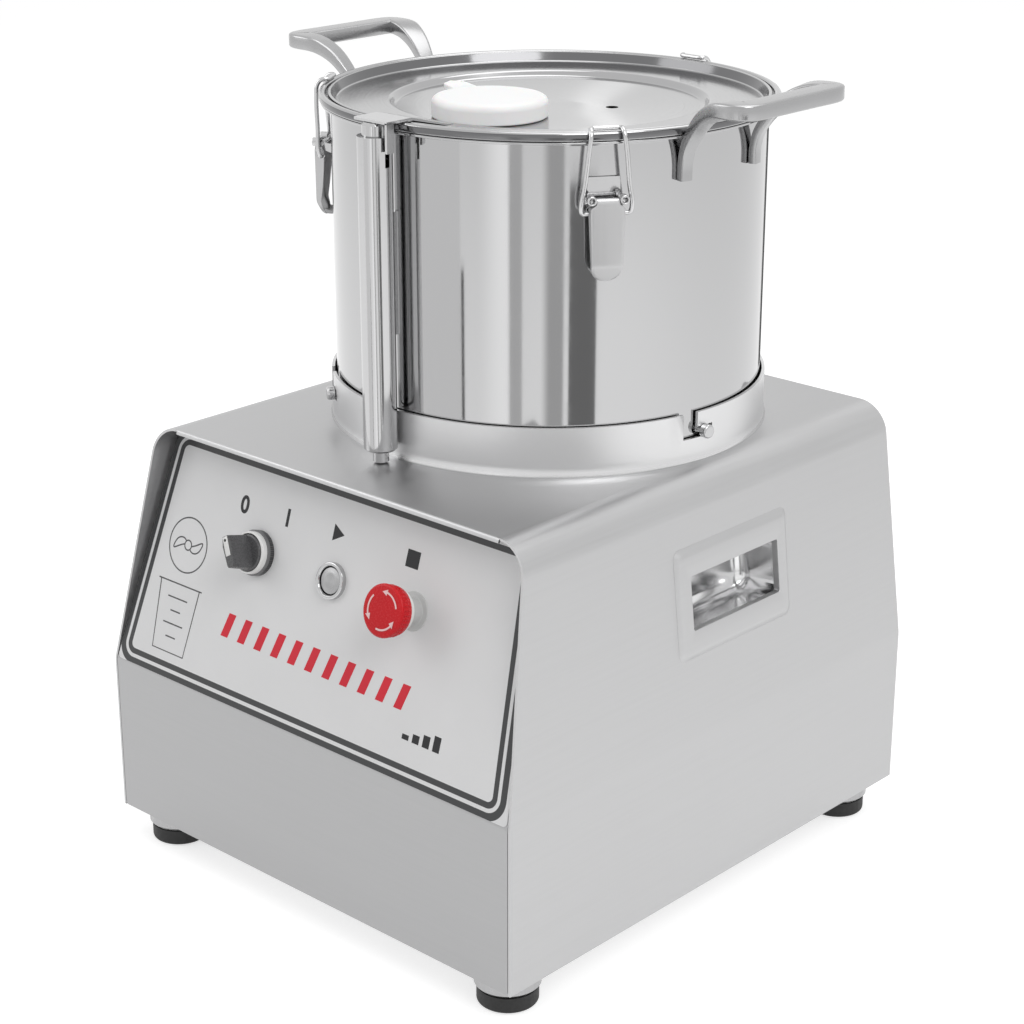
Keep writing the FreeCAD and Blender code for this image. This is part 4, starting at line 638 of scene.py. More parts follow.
def makeHandle(name, node, degrees):
    bm = bmesh.new()
    sweep(bm, handleStations(1) + handleStations(-1)[-2::-1], rounding=handle["rounding"])
    lay(bm, Matrix.Translation((0, bowlY, 0)) @ Matrix.Rotation(math.radians(degrees), 4, "Z"))
    keep(bm, name, "bowl", steel["cast"], [node], sharp=50)


makeHandle("rightHandle", "handle_right", 0)
makeHandle("leftHandle", "handle_left", 180)
print("handles made")

# the grips in the sides

def sideMatrix(side):
    # the slanted side as a frame: to the back, up the slope and out
    lean = math.atan(sideSlope)
    spot = Vector((side * halfWidth(grip["z"]), grip["y"], grip["z"]))
    up = Vector((-side * math.sin(lean), 0, math.cos(lean)))
    out = Vector((side * math.cos(lean), 0, math.sin(lean)))
    return Matrix.Translation(spot) @ Matrix((Vector((0, 1, 0)), up, out)).transposed().to_4x4()


def rectangle(bm, length, high, radius, lift):
    start = set(bm.edges)
    bentLine(bm, [(x * length / 2, y * high / 2, lift, radius) for x, y in ((-1, -1), (1, -1), (1, 1), (-1, 1))],
             closed=True, segments=6)
    return [e for e in bm.edges if e not in start]


def makeGrip(name, node, side):
    # a raised frame round a sharp opening, and behind it a wider polished cup with round inner corners
    bm = bmesh.new()
    length, high, proud, slope = [grip[key] for key in ("frameLength", "frameHigh", "frameProud", "frameSlope")]
    loops = []
    for row in ((length, high, grip["frameCorner"], 0.00005),
                (length - slope, high - slope, grip["frameCorner"] * 0.7, proud),
                (grip["length"], grip["high"], grip["corner"], proud),
                (grip["length"], grip["high"], grip["corner"], -grip["lipDepth"]),
                (grip["cupLength"], grip["cupHigh"], grip["inner"], -grip["lipDepth"] - grip["step"])):
        loops.append(rectangle(bm, *row))
        if loops[:-1]:
            bmesh.ops.bridge_loops(bm, edges=loops[-2] + loops[-1])
    walls = bmesh.ops.extrude_edge_only(bm, edges=loops[-1])
    slide(bm, lastVerts(walls), (0, 0, grip["lipDepth"] + grip["step"] - grip["depth"]))
    foot = [e for e in bm.edges if all(v.co.z < 1e-5 - grip["depth"] for v in e.verts)]
    bmesh.ops.contextual_create(bm, geom=foot)
    soften(bm, foot, grip["inner"] * 0.8, 6)
    soften(bm, loops[1], grip["frameSoft"], 4)
    soften(bm, loops[2], grip["lipSoft"], 3)
    for face in bm.faces:
        face.material_index = 1 if face.calc_center_median().z < -grip["lipDepth"] * 0.9 else 0
    lay(bm, sideMatrix(side))
    keep(bm, name, "base", [steel["side"], steel["cup"]], [node], sharp=60, wall=grip["wall"])


makeGrip("rightGrip", "grip_pocket_right", 1)
makeGrip("leftGrip", "grip_pocket_left", -1)
print("grips made")

# the bowl and what stands on it
bowl = dict(radius=0.131, wall=0.0015, floorZ=0.2777, floor=0.002, corner=0.008, flangeZ=0.4700, flange=0.1366,
            shaft=0.014)


def makeBowl():
    shaft, radius, flange, wall = bowl["shaft"], bowl["radius"], bowl["flange"], bowl["wall"]
    inner = radius - wall
    low, under = bowl["floorZ"], bowl["flangeZ"]
    floor, top = low + bowl["floor"], under + wall
    bm = turn([(shaft, low), (radius, low, bowl["corner"]), (radius, under, 0.0009), (flange, under, 0.0005),
               (flange, top, 0.0005), (inner, top, 0.0010), (inner, floor, bowl["corner"] - wall), (shaft, floor)],
              steps=192, segments=5, hold=0.0008)
    for face in bm.faces:
        x, y, z = face.calc_center_median()
        face.material_index = 1 if math.hypot(x, y - bowlY) < inner + 0.0001 and z > floor - 0.0001 else 0
    keep(bm, "bowlShell", "bowl", [steel["bowl"], steel["inside"]], ["bowl_shell"], sharp=45)


lid = dict(dish=0.0938, dishZ=0.4660, sheet=0.0012, ledgeZ=0.4698, plug=0.1289, restZ=0.4718, rim=0.1376,
           rimTop=0.4771, groove=0.1322, gap=0.0012, grooveZ=0.4734, bead=0.0018, feed=(0, -0.019),
           feedRadius=0.029, ventOut=0.0385, ventAngle=26.6, ventRadius=0.0038, between=-0.004)


def makeLid():
    dish, sheet, plug, rim, groove = [lid[key] for key in ("dish", "sheet", "plug", "rim", "groove")]
    low, ledge, rest, top = [lid[key] for key in ("dishZ", "ledgeZ", "restZ", "rimTop")]
    outer, bead = groove + lid["gap"], (top - 0.0003, 0.0006)
    bm = turn([(0, low), (dish, low, 0.003), (dish + 0.0027, ledge, 0.0015), (plug, ledge, 0.0008),
               (plug, rest, 0.0006), (rim, rest, 0.0014), (rim, top, 0.0018), (outer, top, 0.0016),
               (outer, lid["grooveZ"]), (groove, lid["grooveZ"]), (groove, *bead), (groove - lid["bead"], *bead),
               (plug - sheet, ledge + sheet, 0.0010), (dish + 0.0012, ledge + sheet, 0.0022),
               (dish - 0.0013, low + sheet, 0.0022), (0, low + sheet)],
              steps=160, closed=False, centre=(0, 0, 0), hold=0.0005)
    vent = math.radians(lid["ventAngle"])
    holes = [(lid["feed"][0], lid["feed"][1] - bowlY, lid["feedRadius"]),
             (lid["ventOut"] * math.cos(vent), lid["ventOut"] * math.sin(vent), lid["ventRadius"])]
    for z in (low, low + sheet):
        flat = levelFaces(bm, z)
        joined = bmesh.ops.dissolve_faces(bm, faces=flat, use_verts=True)["region"][0]
        splitFace(bm, joined, (0, lid["between"], 0), (0, 1, 0))
        for x, y, radius in holes:
            cutHole(bm, levelFaces(bm, z), (x, y, z), radius)
    for x, y, radius in holes:
        rings = [e for e in bm.edges if e.is_boundary and all(abs(math.hypot(v.co.x - x, v.co.y - y) - radius)
                                                              < radius * 0.02 for v in e.verts)]
        bmesh.ops.bridge_loops(bm, edges=rings)
    # the upright faces of the dish and rim take the dark wall steel, which is painted shade and dark reflection
    for face in bm.faces:
        x, y, z = face.calc_center_median()
        upright = abs(face.normal.z) < 0.5 and math.hypot(x, y) > dish - 0.004 and z > low
        face.material_index = 1 if upright else 0
    slide(bm, bm.verts, (0, bowlY, 0))
    keep(bm, "lidSheet", "lid", [steel["lid"], steel["wall"]], ["lid"], sharp=40)


def levelFaces(bm, z):
    return [f for f in bm.faces if all(abs(v.co.z - z) < 1e-5 for v in f.verts)]


cap = dict(radius=0.0342, lowZ=0.4675, topZ=0.4799, plug=0.028, plugZ=0.4615, hollow=0.002, tab=0.0028, lift=0.0030,
           # the pull tab's outline: out from the cap's edge, across, corner radius
           pull=[(-0.0040, 0.0020, 0), (0.0044, 0.0005, 0.0016), (0.0058, 0.0080, 0.004), (0.0034, 0.0150, 0.0018),
                 (-0.0090, 0.0180, 0)])


def makeCap():
    low, high, plug, radius = cap["lowZ"], cap["topZ"], cap["plug"], cap["radius"]
    bm = turn([(0, low + cap["hollow"]), (plug - cap["hollow"], low + cap["hollow"], 0.0008),
               (plug - cap["hollow"], cap["plugZ"], 0.0006), (plug, cap["plugZ"], 0.0006), (plug, low, 0.0005),
               (radius, low, 0.0012), (radius, high - 0.0006, 0.0040), (radius * 0.72, high - 0.0002, 0.02),
               (0, high)], steps=96, closed=False, centre=(*lid["feed"], 0), hold=0.0004)
    before = set(bm.verts)
    raised = bmesh.ops.extrude_face_region(bm, geom=flatFace(
        bm, [(-radius - out, across, 0, corner) for out, across, corner in cap["pull"]], 5))
    slide(bm, lastVerts(raised), (0, 0, cap["tab"]))
    pull = [v for v in bm.verts if v not in before]
    for vert in pull:
        vert.co.z += cap["lift"] * max(0, -radius + 0.002 - vert.co.x) / 0.007      # bent up towards its end
    slide(bm, pull, (*lid["feed"], high - cap["tab"] - 0.0010))
    ease(keep(bm, "feedCap", "cap", paint["cap"], ["feed_cap"], sharp=35), 0.0006, 3)


lidTab = dict(left=0.012, right=0.014, front=-0.1164, rise=-0.0968, inner=-0.0640, top=0.4792, thick=0.0016,
              leg=0.017, legBack=-0.1108, soft=0.0005, ledge=0.47105)


def makeTab():
    # a plate from the lid's ledge over its rim, with a leg that hangs in the rod tube's slot
    bm = bmesh.new()
    low, high, thick = lidTab["ledge"], lidTab["top"], lidTab["thick"]
    inner, rise, front = lidTab["inner"], lidTab["rise"], lidTab["front"]
    side = flatFace(bm, [(0, inner, low), (0, inner - 0.006, low, 0.006), (0, rise, high - thick, 0.012),
                         (0, front, high - thick), (0, front, high), (0, rise, high, 0.014),
                         (0, inner - 0.006, low + thick * 0.6, 0.006), (0, inner, low + 0.0001)], 6)
    slide(bm, bm.verts, (-lidTab["left"], 0, 0))
    across = bmesh.ops.extrude_face_region(bm, geom=side)
    slide(bm, lastVerts(across), (lidTab["left"] + lidTab["right"], 0, 0))
    size = Vector((thick, lidTab["legBack"] - front, lidTab["leg"]))
    spot = Vector((lidTab["right"] - size.x / 2, front + size.y / 2, high - thick * 0.5 - size.z / 2))
    bmesh.ops.create_cube(bm, size=1, matrix=Matrix.Translation(spot) @ Matrix.Diagonal((*size, 1)))
    ease(keep(bm, "lidTab", "lid", steel["ledge"], ["lid_tab"], sharp=35), lidTab["soft"], 3)


collar = dict(wall=0.1340, spread=0.35, upTo=0.0045)


def makeCollar():
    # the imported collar, merged, with its flared foot drawn in to a small round
    bm = bmesh.new()
    bm.from_mesh(nodes["bowl_collar"].data)
    bmesh.ops.remove_doubles(bm, verts=bm.verts, dist=1e-6)
    for vert in bm.verts:
        out = math.hypot(vert.co.x, vert.co.y - bowlY)
        if out > collar["wall"] and vert.co.z < topZ + collar["upTo"]:
            share = (collar["wall"] + (out - collar["wall"]) * collar["spread"]) / out
            vert.co.x *= share
            vert.co.y = bowlY + (vert.co.y - bowlY) * share
    keep(bm, "bowlCollar", "base", steel["collar"], ["bowl_collar"], sharp=35)


makeCollar()
makeBowl()
makeLid()
makeTab()
makeCap()
print("bowl, lid and cap made")

# the latches
latches = dict(front=-35, left=-148, back=90)
latch = dict(pivot=0.1395, pivotZ=0.4394, plate=0.0044, sheet=0.0011, corner=0.1, inwards=0.006, soft=0.00025,
             eye=0.0027, eyeHole=0.0016, eyeBack=0.0006, eyeFront=0.0052, eyeOut=0.0093, eyeZ=0.0012,
             # height, width, depth of the folded edges and set-back of each row down the blade
             rows=[(-0.0008, 0.0126, 0.0016, -0.0022), (0.0006, 0.0126, 0.0016, -0.0012),
                   (0.0012, 0.0128, 0.0016, -0.0004), (0.0004, 0.0130, 0.0016, 0), (-0.0014, 0.0134, 0.0020, 0),
                   (-0.0030, 0.0180, 0.0052, 0), (-0.0040, 0.0196, 0.0060, 0), (-0.0080, 0.0196, 0.0060, 0),
                   (-0.0160, 0.0190, 0.0056, 0), (-0.0260, 0.0184, 0.0046, 0), (-0.0345, 0.0180, 0.0034, 0),
                   (-0.0362, 0.0179, 0.0031, -0.0002), (-0.0378, 0.0176, 0.0028, -0.0009),
                   (-0.0400, 0.0164, 0.0024, -0.0020), (-0.0420, 0.0142, 0.0019, -0.0029),
                   (-0.0436, 0.0106, 0.0014, -0.0036), (-0.0446, 0.0062, 0.0010, -0.0040),
                   (-0.0450, 0.0018, 0.0006, -0.0042)])


def atBowl(angle, x=0.0, z=0.0):
    # x out of the bowl's wall, y round it, z up
    turned = Matrix.Rotation(math.radians(angle), 4, "Z")
    return Matrix.Translation((0, bowlY, z)) @ turned @ Matrix.Translation((x, 0, 0))


def makeLever(name, angle):
    # a blade whose edges fold inwards, narrower below its eyes, with a bent and rounded tip
    bm = bmesh.new()
    corner = latch["corner"]
    edges = bentLine(bm, [(-1, -0.5, 0), (0, -0.5, 0, corner), (0, 0.5, 0, corner), (-1, 0.5, 0)], segments=3)
    section = [v.co.copy() for v in bm.verts]
    row = dict(zip(bm.verts, section))
    for i, (z, wide, flange, back) in enumerate(latch["rows"]):
        if i:
            done = bmesh.ops.extrude_edge_only(bm, edges=edges)
            edges = lastEdges(done)
            row = {v: section[nearest(spots, v.co)] for v in lastVerts(done)}
        spots = []
        for mark in section:
            depth = -mark.x * (flange if -mark.x > corner else latch["inwards"])
            spots.append(Vector((latch["plate"] + back - depth, mark.y * wide, z)))
        for vert, mark in row.items():
            vert.co = spots[section.index(mark)]
    lay(bm, atBowl(angle, latch["pivot"], latch["pivotZ"]))
    piece = keep(bm, name + "Lever", "lever_" + name, steel["lever"], ["latch_lever_" + name],
                 sharp=50, wall=latch["sheet"])
    ease(piece, latch["soft"])


def makeEyes(name, angle):
    # the lever's two eyes, which the ends of the bail go through
    bm = bmesh.new()
    outer, hole, back, front = [latch[key] for key in ("eye", "eyeHole", "eyeBack", "eyeFront")]
    bentLine(bm, [(outer, 0, back), (outer, 0, front, 0.0005), (hole, 0, front, 0.0005), (hole, 0, back)],
             closed=True, segments=3)
    spinRound(bm, 24)
    lay(bm, Matrix.Translation((0, latch["eyeOut"], latch["eyeZ"])) @ Matrix.Rotation(math.pi / 2, 4, "Y"))
    copied = bmesh.ops.duplicate(bm, geom=everything(bm))
    slide(bm, lastVerts(copied), (0, -2 * latch["eyeOut"], 0))
    lay(bm, atBowl(angle, latch["pivot"], latch["pivotZ"]))
    keep(bm, name + "LeverEyes", "lever_" + name, steel["wire"], (), sharp=50)


bail = dict(wire=0.0027,
            # out from the bowl's axis, aside and height, from a hooked end up to the middle of the bar
            line=[(0.1385, 0.0098, 0.4324), (0.1385, 0.0128, 0.4324), (0.1391, 0.0142, 0.4340),
                  (0.1401, 0.0142, 0.4394), (0.1404, 0.0126, 0.4484), (0.1412, 0.0112, 0.4620),
                  (0.1413, 0.0102, 0.4705), (0.1411, 0.0096, 0.4745), (0.1395, 0.0091, 0.4775),
                  (0.1372, 0.00875, 0.4788), (0.1354, 0.00815, 0.4788), (0.1346, 0.00655, 0.4788),
                  (0.1346, 0, 0.4788)])


def makeBail(name, angle):
    half = bail["line"]
    line = [(x, -y, z) for x, y, z in half] + half[-2::-1]
    bm = bmesh.new()
    sweep(bm, [(p, (-1, 0.02, 0.3), bail["wire"], bail["wire"]) for p in through(line, 4)], sides=12)
    lay(bm, atBowl(angle))
    keep(bm, name + "Bail", "bail_" + name, steel["wire"], ["latch_bail_" + name], sharp=60)


for name, angle in latches.items():
    makeLever(name, angle)
    makeEyes(name, angle)
    makeBail(name, angle)
print("latches made")

# the controls and the marks printed round them
knob = dict(foot=0.0138, footHigh=0.0052, ring=0.0129, ringHigh=0.0090, ringHole=0.0115, disc=0.0111, low=0.0037,
            high=0.0098, sunk=0.001, bar=0.0080, barLength=0.0205, barHigh=0.0250, taper=(0.80, 0.94, 1), turn=32,
            strip=(0.0038, 0.0118, 0.0008), stripSoft=0.00025, dot=0.0009, dotIn=0.0022)


def atControl(bm, control, turned=0.0):
    # from a control's own frame, with z out of the panel, to its place
    lay(bm, panelMatrix(controls[control], controls["up"]) @ Matrix.Rotation(math.radians(turned), 4, "Z"))


def disc(profile, steps=72, segments=4, closed=False):
    return turn(profile, steps=steps, closed=closed, segments=segments, centre=(0, 0, 0), hold=0.0003)


def makeSelector():
    hole, ring, foot = knob["ringHole"], knob["ring"], knob["foot"]
    low, high = knob["footHigh"], knob["ringHigh"]
    bm = disc([(hole, film["thick"]), (foot, film["thick"], 0.0003), (foot, low, 0.0008), (hole, low)], closed=True)
    atControl(bm, "selector")
    keep(bm, "selectorFoot", "base", paint["grey"], ())
    bm = disc([(hole, low), (ring, low), (ring, high, 0.0012), (hole, high, 0.0004)], closed=True)
    atControl(bm, "selector")
    keep(bm, "selectorRing", "base", paint["white"], ["selector_ring"])

    bm = disc([(0, knob["low"]), (knob["disc"], knob["low"]), (knob["disc"], knob["high"], 0.0012),
               (0, knob["high"])])
    before = set(bm.verts)
    half, reach = knob["bar"] / 2, knob["barLength"] / 2
    foot = flatFace(bm, [(-half * 0.8, -reach, 0, 0.0020), (half * 0.8, -reach, 0, 0.0020),
                         (half * 1.1, reach - 0.006, 0), (half * 0.7, reach, 0), (-half * 0.7, reach, 0),
                         (-half * 1.1, reach - 0.006, 0)])
    top = lastVerts(bmesh.ops.extrude_face_region(bm, geom=foot))
    slide(bm, top, (0, 0, knob["barHigh"] - knob["high"] + knob["sunk"]))
    bmesh.ops.scale(bm, verts=top, vec=knob["taper"])
    slide(bm, [v for v in bm.verts if v not in before], (0, 0, knob["high"] - knob["sunk"]))
    atControl(bm, "selector", knob["turn"])
    ease(keep(bm, "selectorKnob", "selector", paint["knob"], ["selector_knob"], sharp=40), 0.0005, 3)

    # a pale strip with a dark dot on the bar's front end
    bm = bmesh.new()
    end = reach * 0.90
    middle = (0, end - knob["strip"][1] / 2, knob["barHigh"])
    bmesh.ops.create_cube(bm, size=1, matrix=Matrix.Translation(middle) @ Matrix.Diagonal((*knob["strip"], 1)))
    soften(bm, bm.edges[:], knob["stripSoft"], 2)
    before = set(bm.faces)
    bmesh.ops.create_cone(bm, cap_ends=True, segments=24, radius1=knob["dot"], radius2=knob["dot"], depth=0.0004,
                          matrix=Matrix.Translation((0, end - knob["dotIn"], knob["barHigh"] + 0.0003)))
    for face in bm.faces:
        face.material_index = 0 if face in before else 1
    atControl(bm, "selector", knob["turn"])
    keep(bm, "selectorPointer", "selector", [paint["white"], paint["ink"]], ())


startButton = dict(ring=0.0110, hole=0.0085, ringHigh=0.0036, button=0.0079, high=0.0030, dome=0.0007)


def makeStart():
    hole, ring, high = startButton["hole"], startButton["ring"], startButton["ringHigh"]
    low = film["thick"]
    bm = disc([(hole, low), (ring, low), (ring, high, 0.0007), (hole + 0.0006, high, 0.0003), (hole, high - 0.0008)],
              closed=True)
    atControl(bm, "start")
    keep(bm, "startRing", "base", steel["polished"], ["start_ring"])
    button, high, dome = startButton["button"], startButton["high"], startButton["dome"]
    bm = disc([(0, low), (button, low), (button, high - dome, 0.0005), (button * 0.6, high - dome * 0.35, 0.004),
               (0, high)], segments=5)
    atControl(bm, "start")
    keep(bm, "startButton", "start", steel["button"], ["start_button"], sharp=60)


stopButton = dict(foot=0.0113, footLow=0.0001, footHigh=0.0010, neck=0.0080, collar=0.0127, collarLow=0.0128,
                  collarHigh=0.0161, bore=0.0068, head=0.0153, side=0.0149, skirt=0.0141, hollow=0.0131,
                  ceiling=0.0212, low=0.0165, high=0.0260, ribs=36, ribDeep=0.0005)


def makeStop():
    bore, foot, neck, out = [stopButton[key] for key in ("bore", "foot", "neck", "collar")]
    low, step, under, top = [stopButton[key] for key in ("footLow", "footHigh", "collarLow", "collarHigh")]
    bm = disc([(bore, low), (foot, low), (foot, step, 0.0005), (neck, step + 0.0004, 0.0006),
               (neck, under - 0.0010, 0.0006), (out, under, 0.0006), (out, top, 0.0008), (bore, top, 0.0004)],
              closed=True)
    for face in bm.faces:
        face.material_index = 0 if face.calc_center_median().z > under - 0.0012 else 1
    atControl(bm, "stop")
    keep(bm, "stopFoot", "base", [paint["white"], paint["neck"]], ["stop_foot"])

    # the head is hollow behind, and every other face of a coarse ring round its side is pressed in
    hollow, skirt, side, head = [stopButton[key] for key in ("hollow", "skirt", "side", "head")]
    low, high, ceiling, ribs = [stopButton[key] for key in ("low", "high", "ceiling", "ribs")]
    bm = disc([(0, ceiling), (hollow, ceiling, 0.0004), (hollow, low, 0.0003), (skirt, low, 0.0004),
               (side, low + 0.0030, 0.0003), (side, high - 0.0022, 0.0002), (head, high - 0.0020, 0.0003),
               (head, high - 0.0004, 0.0013), (head * 0.55, high - 0.0001, 0.004), (0, high)],
              steps=ribs * 4, segments=3)
    for vert in bm.verts:
        x, y, z = vert.co
        if low + 0.0006 < z < high - 0.0023 and math.hypot(x, y) > hollow + 0.0006:
            if round(math.atan2(y, x) / math.tau * ribs * 4) % 4 in (0, 1):
                vert.co.xy *= 1 - stopButton["ribDeep"] / head
    atControl(bm, "stop")
    keep(bm, "stopHead", "stop_head", paint["red"], ["stop_head"], sharp=32)


def printed(name, curve, mat, body="base", x=0.0, up=0.0, out=None):
    # a text or flat curve becomes a mesh before it is laid on the panel
    flat = bpy.data.objects.new(name + "Curve", curve)
    made = bpy.data.meshes.new_from_object(flat)
    bpy.data.objects.remove(flat)
    bm = bmesh.new()
    bm.from_mesh(made)
    bpy.data.meshes.remove(made)
    lay(bm, panelMatrix(x, up, marks["lift"] if out is None else out))
    return keep(bm, name, body, mat, (), sharp=30)


def newCurve(name, width=0.0):
    # a thin round line where a width is given, else a flat filled form
    curve = bpy.data.curves.new(name, "CURVE")
    curve.resolution_u = 10
    if width:
        curve.dimensions = "3D"
        curve.bevel_depth = width / 2
        curve.bevel_resolution = 1
        curve.use_fill_caps = True
    else:
        curve.dimensions = "2D"
        curve.fill_mode = "BOTH"
        curve.extrude = marks["thick"] / 2
    return curve


def draw(curve, points, closed=True, smooth=False):
    line = curve.splines.new("NURBS" if smooth else "POLY")
    line.points.add(len(points) - 1)
    for point, (x, y) in zip(line.points, points):
        point.co = (x, y, 0, 1)
    line.use_cyclic_u = closed
    if smooth:
        line.order_u = 4
        line.use_endpoint_u = not closed


marks = dict(thick=0.00006, lift=0.00044, letters=0.0105, weight=0.00042, off=(-0.081, 0.1215), on=(-0.043, 0.1225),
             start=(0.000, 0.1235), stop=(0.061, 0.1240), sign=0.48, stripes=(-0.080, 0.0400), blocks=11,
             pitch=0.0149, block=0.0104, tall=0.0150, lean=0.0042, level=(0.080, 0.0250), steps=4, stepPitch=0.0080,
             stepWide=0.0052, stepTall=0.0030, stepRise=0.0020, line=0.0009)


def makeMarks():
    for name, words, (x, up) in (("markOff", "0", marks["off"]), ("markOn", "1", marks["on"])):
        text = bpy.data.curves.new(name, "FONT")
        text.body = words
        text.size = marks["letters"] * 1.4
        text.align_x = "CENTER"
        text.offset = marks["weight"]
        text.extrude = marks["thick"] / 2
        printed(name, text, paint["ink"], x=x, up=up - marks["letters"] / 2)

    signs = newCurve("signs")
    size = marks["letters"] * marks["sign"]
    x, up = marks["start"]
    draw(signs, [(x - size * 0.8, up - size), (x + size, up), (x - size * 0.8, up + size)])
    x, up = marks["stop"]
    draw(signs, [(x - size, up - size), (x + size, up - size), (x + size, up + size), (x - size, up + size)])
    x, up = marks["level"]
    for i in range(marks["steps"]):
        left, high = x + i * marks["stepPitch"], up + marks["stepTall"] + i * marks["stepRise"]
        right = left + marks["stepWide"]
        draw(signs, [(left, up), (right, up), (right, high), (left, high)])
    printed("markSigns", signs, paint["ink"])

    stripes = newCurve("stripes")
    x, up = marks["stripes"]
    wide, tall, lean = marks["block"], marks["tall"], marks["lean"]
    for i in range(marks["blocks"]):
        left = x + i * marks["pitch"]
        draw(stripes, [(left, up), (left + wide - lean, up), (left + wide, up + tall), (left + lean, up + tall)])
    printed("markStripes", stripes, paint["redInk"])


def arc(x, up, radius, count, start=0.0, span=math.tau):
    return [(x + radius * math.cos(start + span * i / count), up + radius * math.sin(start + span * i / count))
            for i in range(count)]


emblem = dict(x=-0.1235, beakerLow=0.0170, beakerHigh=0.0600, beakerWide=0.0180, ringUp=0.0850, ringOut=0.0175,
              hub=0.0034, flat=0.12, arrowOut=0.0108, arrowWide=0.00055, arrowFirst=20, arrowSpan=62, arrowTip=20)


def makeEmblem():
    # thin lines: a measuring cup below, two curved knives in a ring above
    lines = newCurve("emblem", marks["line"])
    x, low, high, wide = [emblem[key] for key in ("x", "beakerLow", "beakerHigh", "beakerWide")]
    draw(lines, [(x - wide, high), (x - wide * 0.8, low), (x + wide * 0.8, low), (x + wide, high)], closed=False)
    draw(lines, [(x - wide * 1.12, high), (x + wide * 1.12, high)], closed=False)
    for i in range(4):
        up, half = low + (high - low) * (0.22 + 0.19 * i), wide * 0.25 * (1 + i % 2)
        draw(lines, [(x - half, up), (x + half, up)], closed=False)
    up = emblem["ringUp"]
    draw(lines, arc(x, up, emblem["ringOut"], 16), smooth=True)
    draw(lines, arc(x, up, emblem["hub"], 8), smooth=True)
    for way in (1, -1):
        out, hub = emblem["ringOut"] * 0.82 * way, emblem["hub"] * way
        knife = [(0.5, 0.08), (0.95, 0.42), (0.86, 0.06), (0.66, -0.26), (0.3, -0.3)]
        draw(lines, [(x + hub, up)] + [(x + out * a, up + out * b) for a, b in knife]
             + [(x + hub * 0.7, up - hub * 0.7)], closed=False, smooth=True)
    piece = printed("markEmblem", lines, paint["thinInk"])
    flatten = Matrix.Translation(onPanel(0, 0, marks["lift"]))
    piece.data.transform(flatten @ Matrix.Scale(emblem["flat"], 4, panelOut) @ flatten.inverted())


def makeArrows():
    # three bent arrows on the stop button
    arrows = newCurve("arrows")
    out, wide, span = emblem["arrowOut"], emblem["arrowWide"], math.radians(emblem["arrowSpan"])
    for i in range(3):
        begin = math.radians(emblem["arrowFirst"] + 120 * i)
        outer, inner = [arc(0, 0, radius, 8, begin, span) + polar(radius, begin + span)
                        for radius in (out + wide, out - wide)]
        tip = polar(out, begin + span + math.radians(emblem["arrowTip"]))
        head = polar(out + 3.4 * wide, begin + span) + tip + polar(out - 3.4 * wide, begin + span)
        draw(arrows, outer + head + inner[::-1])
    printed("stopArrows", arrows, paint["paleInk"], "stop_head", controls["stop"], controls["up"],
            stopButton["high"] + 0.00002)


def polar(radius, angle):
    return [(radius * math.cos(angle), radius * math.sin(angle))]


makeSelector()
makeStart()
makeStop()
makeMarks()
makeEmblem()
makeArrows()
print("controls made")

# the studio: floor, lights and camera
stage = dict(floorColour=0.62, glow=0.64, sky=0.55, back=1.0)


def seen(mat):
    # 1 where the camera sees the surface, also in metal or through a gap
    path = mat.node_tree.nodes.new("ShaderNodeLightPath")
    direct = mathNode(mat, "MAXIMUM", path.outputs["Is Camera Ray"], path.outputs["Is Glossy Ray"])
    return mathNode(mat, "MAXIMUM", direct, path.outputs["Is Transmission Ray"])


def makeFloor():
    bm = bmesh.new()
    bmesh.ops.create_circle(bm, cap_ends=True, segments=96, radius=14.0)
    mat = newMaterial("floorPaper", (stage["floorColour"],) * 3, 0.0, 0.9, Specular_IOR_Level=0.0)
    glow = addNode(mat, "ShaderNodeEmission", Color=(1, 1, 1, 1))
    join(mat, ramp(mat, seen(mat), 0, 1, 0, stage["glow"]), glow.inputs["Strength"])
    add = mat.node_tree.nodes.new("ShaderNodeAddShader")
    join(mat, shaderOf(mat).outputs[0], add.inputs[0])
    join(mat, glow.outputs[0], add.inputs[1])
    join(mat, add.outputs[0], mat.node_tree.nodes["Material Output"].inputs["Surface"])
    floor = linked("studioFloor", meshOf(bm, "studioFloor", [mat]))
    floor.location.z = -0.0004


def makeSky():
    world = bpy.data.worlds.new("studioSky")
    bpy.context.scene.world = world
    world.use_nodes = True
    background = world.node_tree.nodes["Background"]
    background.inputs["Color"].default_value = (1, 1, 1, 1)
    join(world, ramp(world, seen(world), 0, 1, stage["sky"], stage["back"]), background.inputs["Strength"])


lamps = dict(
    key=dict(place=(1.5, -0.5, 1.7), size=1.3, watts=15),
    fill=dict(place=(-1.4, -1.3, 1.3), size=1.4, watts=8),
    top=dict(place=(0.1, 0.5, 2.1), size=1.6, watts=10),
)


def makeLamps():
    for name, lamp in lamps.items():
        light = bpy.data.lights.new(name + "Lamp", "AREA")
        light.shape = "DISK"
        light.size = lamp["size"]
        light.energy = lamp["watts"]
        thing = linked(name + "Lamp", light)
        thing.location = lamp["place"]
        way = Vector((0, 0, 0.3)) - Vector(lamp["place"])
        thing.rotation_euler = way.to_track_quat("-Z", "Y").to_euler()


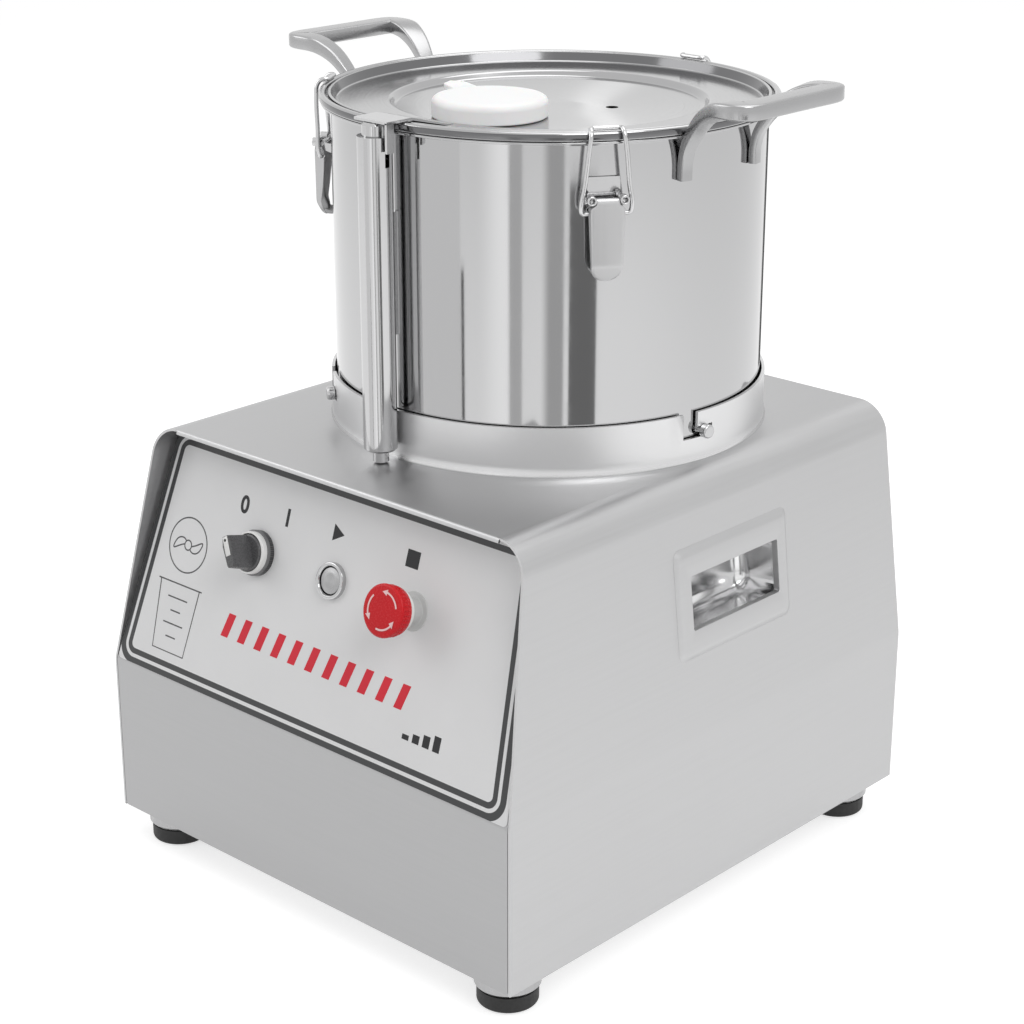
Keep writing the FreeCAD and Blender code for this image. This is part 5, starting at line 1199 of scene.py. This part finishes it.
# boards round the object, seen only in the metal: where they stand, how bright they are, how soft their ends are
flags = dict(
    behind=dict(start=-80, end=75, out=1.0, low=0.62, high=1.05, light=0.85, soft=(8, 8)),
    strip=dict(start=176.6, end=177.9, out=2.2, low=0.50, high=1.9, light=1.35, soft=(0.3, 0.3)),
    shade=dict(start=-70, end=-43.4, out=0.8, low=0.002, high=0.36, light=0.98, soft=(6, 0.4)),
    line=dict(start=-43.6, end=-41.6, out=0.8, low=0.002, high=0.22, light=0.15, soft=(0.5, 0.5)),
    glow=dict(start=-36, end=-20, out=0.8, low=0.002, high=0.36, light=1.45, soft=(14, 0.4)),
    grey=dict(start=-19.5, end=-13, out=0.8, low=0.002, high=0.36, light=0.70, soft=(0.4, 0.8)),
    streak=dict(start=-5, end=6.9, out=0.8, low=0.002, high=0.36, light=0.60, soft=(5, 1.5)),
    band=dict(start=8.5, end=22, out=0.8, low=0.002, high=0.30, light=0.24, soft=(0.4, 0.4)),
    far=dict(start=148, end=164, out=0.8, low=0.002, high=0.40, light=0.12, soft=(3, 2)),
)
camera = dict(place=(0.9318, -1.0049, 0.729), tilt=69.46, turn=42.84, lens=82.18)
cameraWay = math.radians(camera["turn"] - 90)       # the camera's way round the bowl from +X


def boardCloth(name, flag):
    # full strength between the board's two ends, easing to nothing at both
    cloth = bpy.data.materials.new(name)
    cloth.use_nodes = True
    tree = cloth.node_tree
    tree.nodes.remove(shaderOf(cloth))
    axes = splitAxes(cloth, objectSpace(cloth, location=(0, -bowlY, 0)))
    angle = mathNode(cloth, "ARCTAN2", axes["Y"], axes["X"])
    start, end = [cameraWay + math.radians(flag[side]) for side in ("start", "end")]
    first, last = [math.radians(soft) for soft in flag["soft"]]
    share = mathNode(cloth, "MULTIPLY", ramp(cloth, angle, start, start + first, 0, 1, smooth=True),
                     ramp(cloth, angle, end - last, end, 1, 0, smooth=True))
    light = addNode(cloth, "ShaderNodeEmission", Color=(1, 1, 1, 1), Strength=flag["light"])
    mix = tree.nodes.new("ShaderNodeMixShader")
    join(cloth, share, mix.inputs[0])
    join(cloth, tree.nodes.new("ShaderNodeBsdfTransparent").outputs[0], mix.inputs[1])
    join(cloth, light.outputs[0], mix.inputs[2])
    join(cloth, mix.outputs[0], tree.nodes["Material Output"].inputs["Surface"])
    return cloth


def makeFlags():
    for name, flag in flags.items():
        bm = bmesh.new()
        start = cameraWay + math.radians(flag["start"])
        foot = bm.verts.new((flag["out"] * math.cos(start), flag["out"] * math.sin(start), flag["low"]))
        bmesh.ops.spin(bm, geom=[foot], cent=(0, 0, 0), axis=(0, 0, 1), steps=24,
                       angle=math.radians(flag["end"] - flag["start"]))
        raised = bmesh.ops.extrude_edge_only(bm, edges=bm.edges[:])
        slide(bm, lastVerts(raised), (0, 0, flag["high"] - flag["low"]))
        slide(bm, bm.verts, (0, bowlY, 0))
        board = linked(name + "Flag", meshOf(bm, name + "Flag", [boardCloth(name + "FlagCloth", flag)]))
        board.visible_camera = False
        board.visible_diffuse = False
        board.visible_shadow = False
        board.visible_transmission = False


def makeCamera():
    data = bpy.data.cameras.new("photoCamera")
    data.lens = camera["lens"]
    data.sensor_width = 36
    data.clip_start = 0.01
    thing = linked("photoCamera", data)
    thing.location = camera["place"]
    thing.rotation_euler = (math.radians(camera["tilt"]), 0, math.radians(camera["turn"]))
    bpy.context.scene.camera = thing


makeFloor()
makeSky()
makeLamps()
makeFlags()
makeCamera()
bpy.context.scene.view_settings.view_transform = "Standard"
print("stage set")
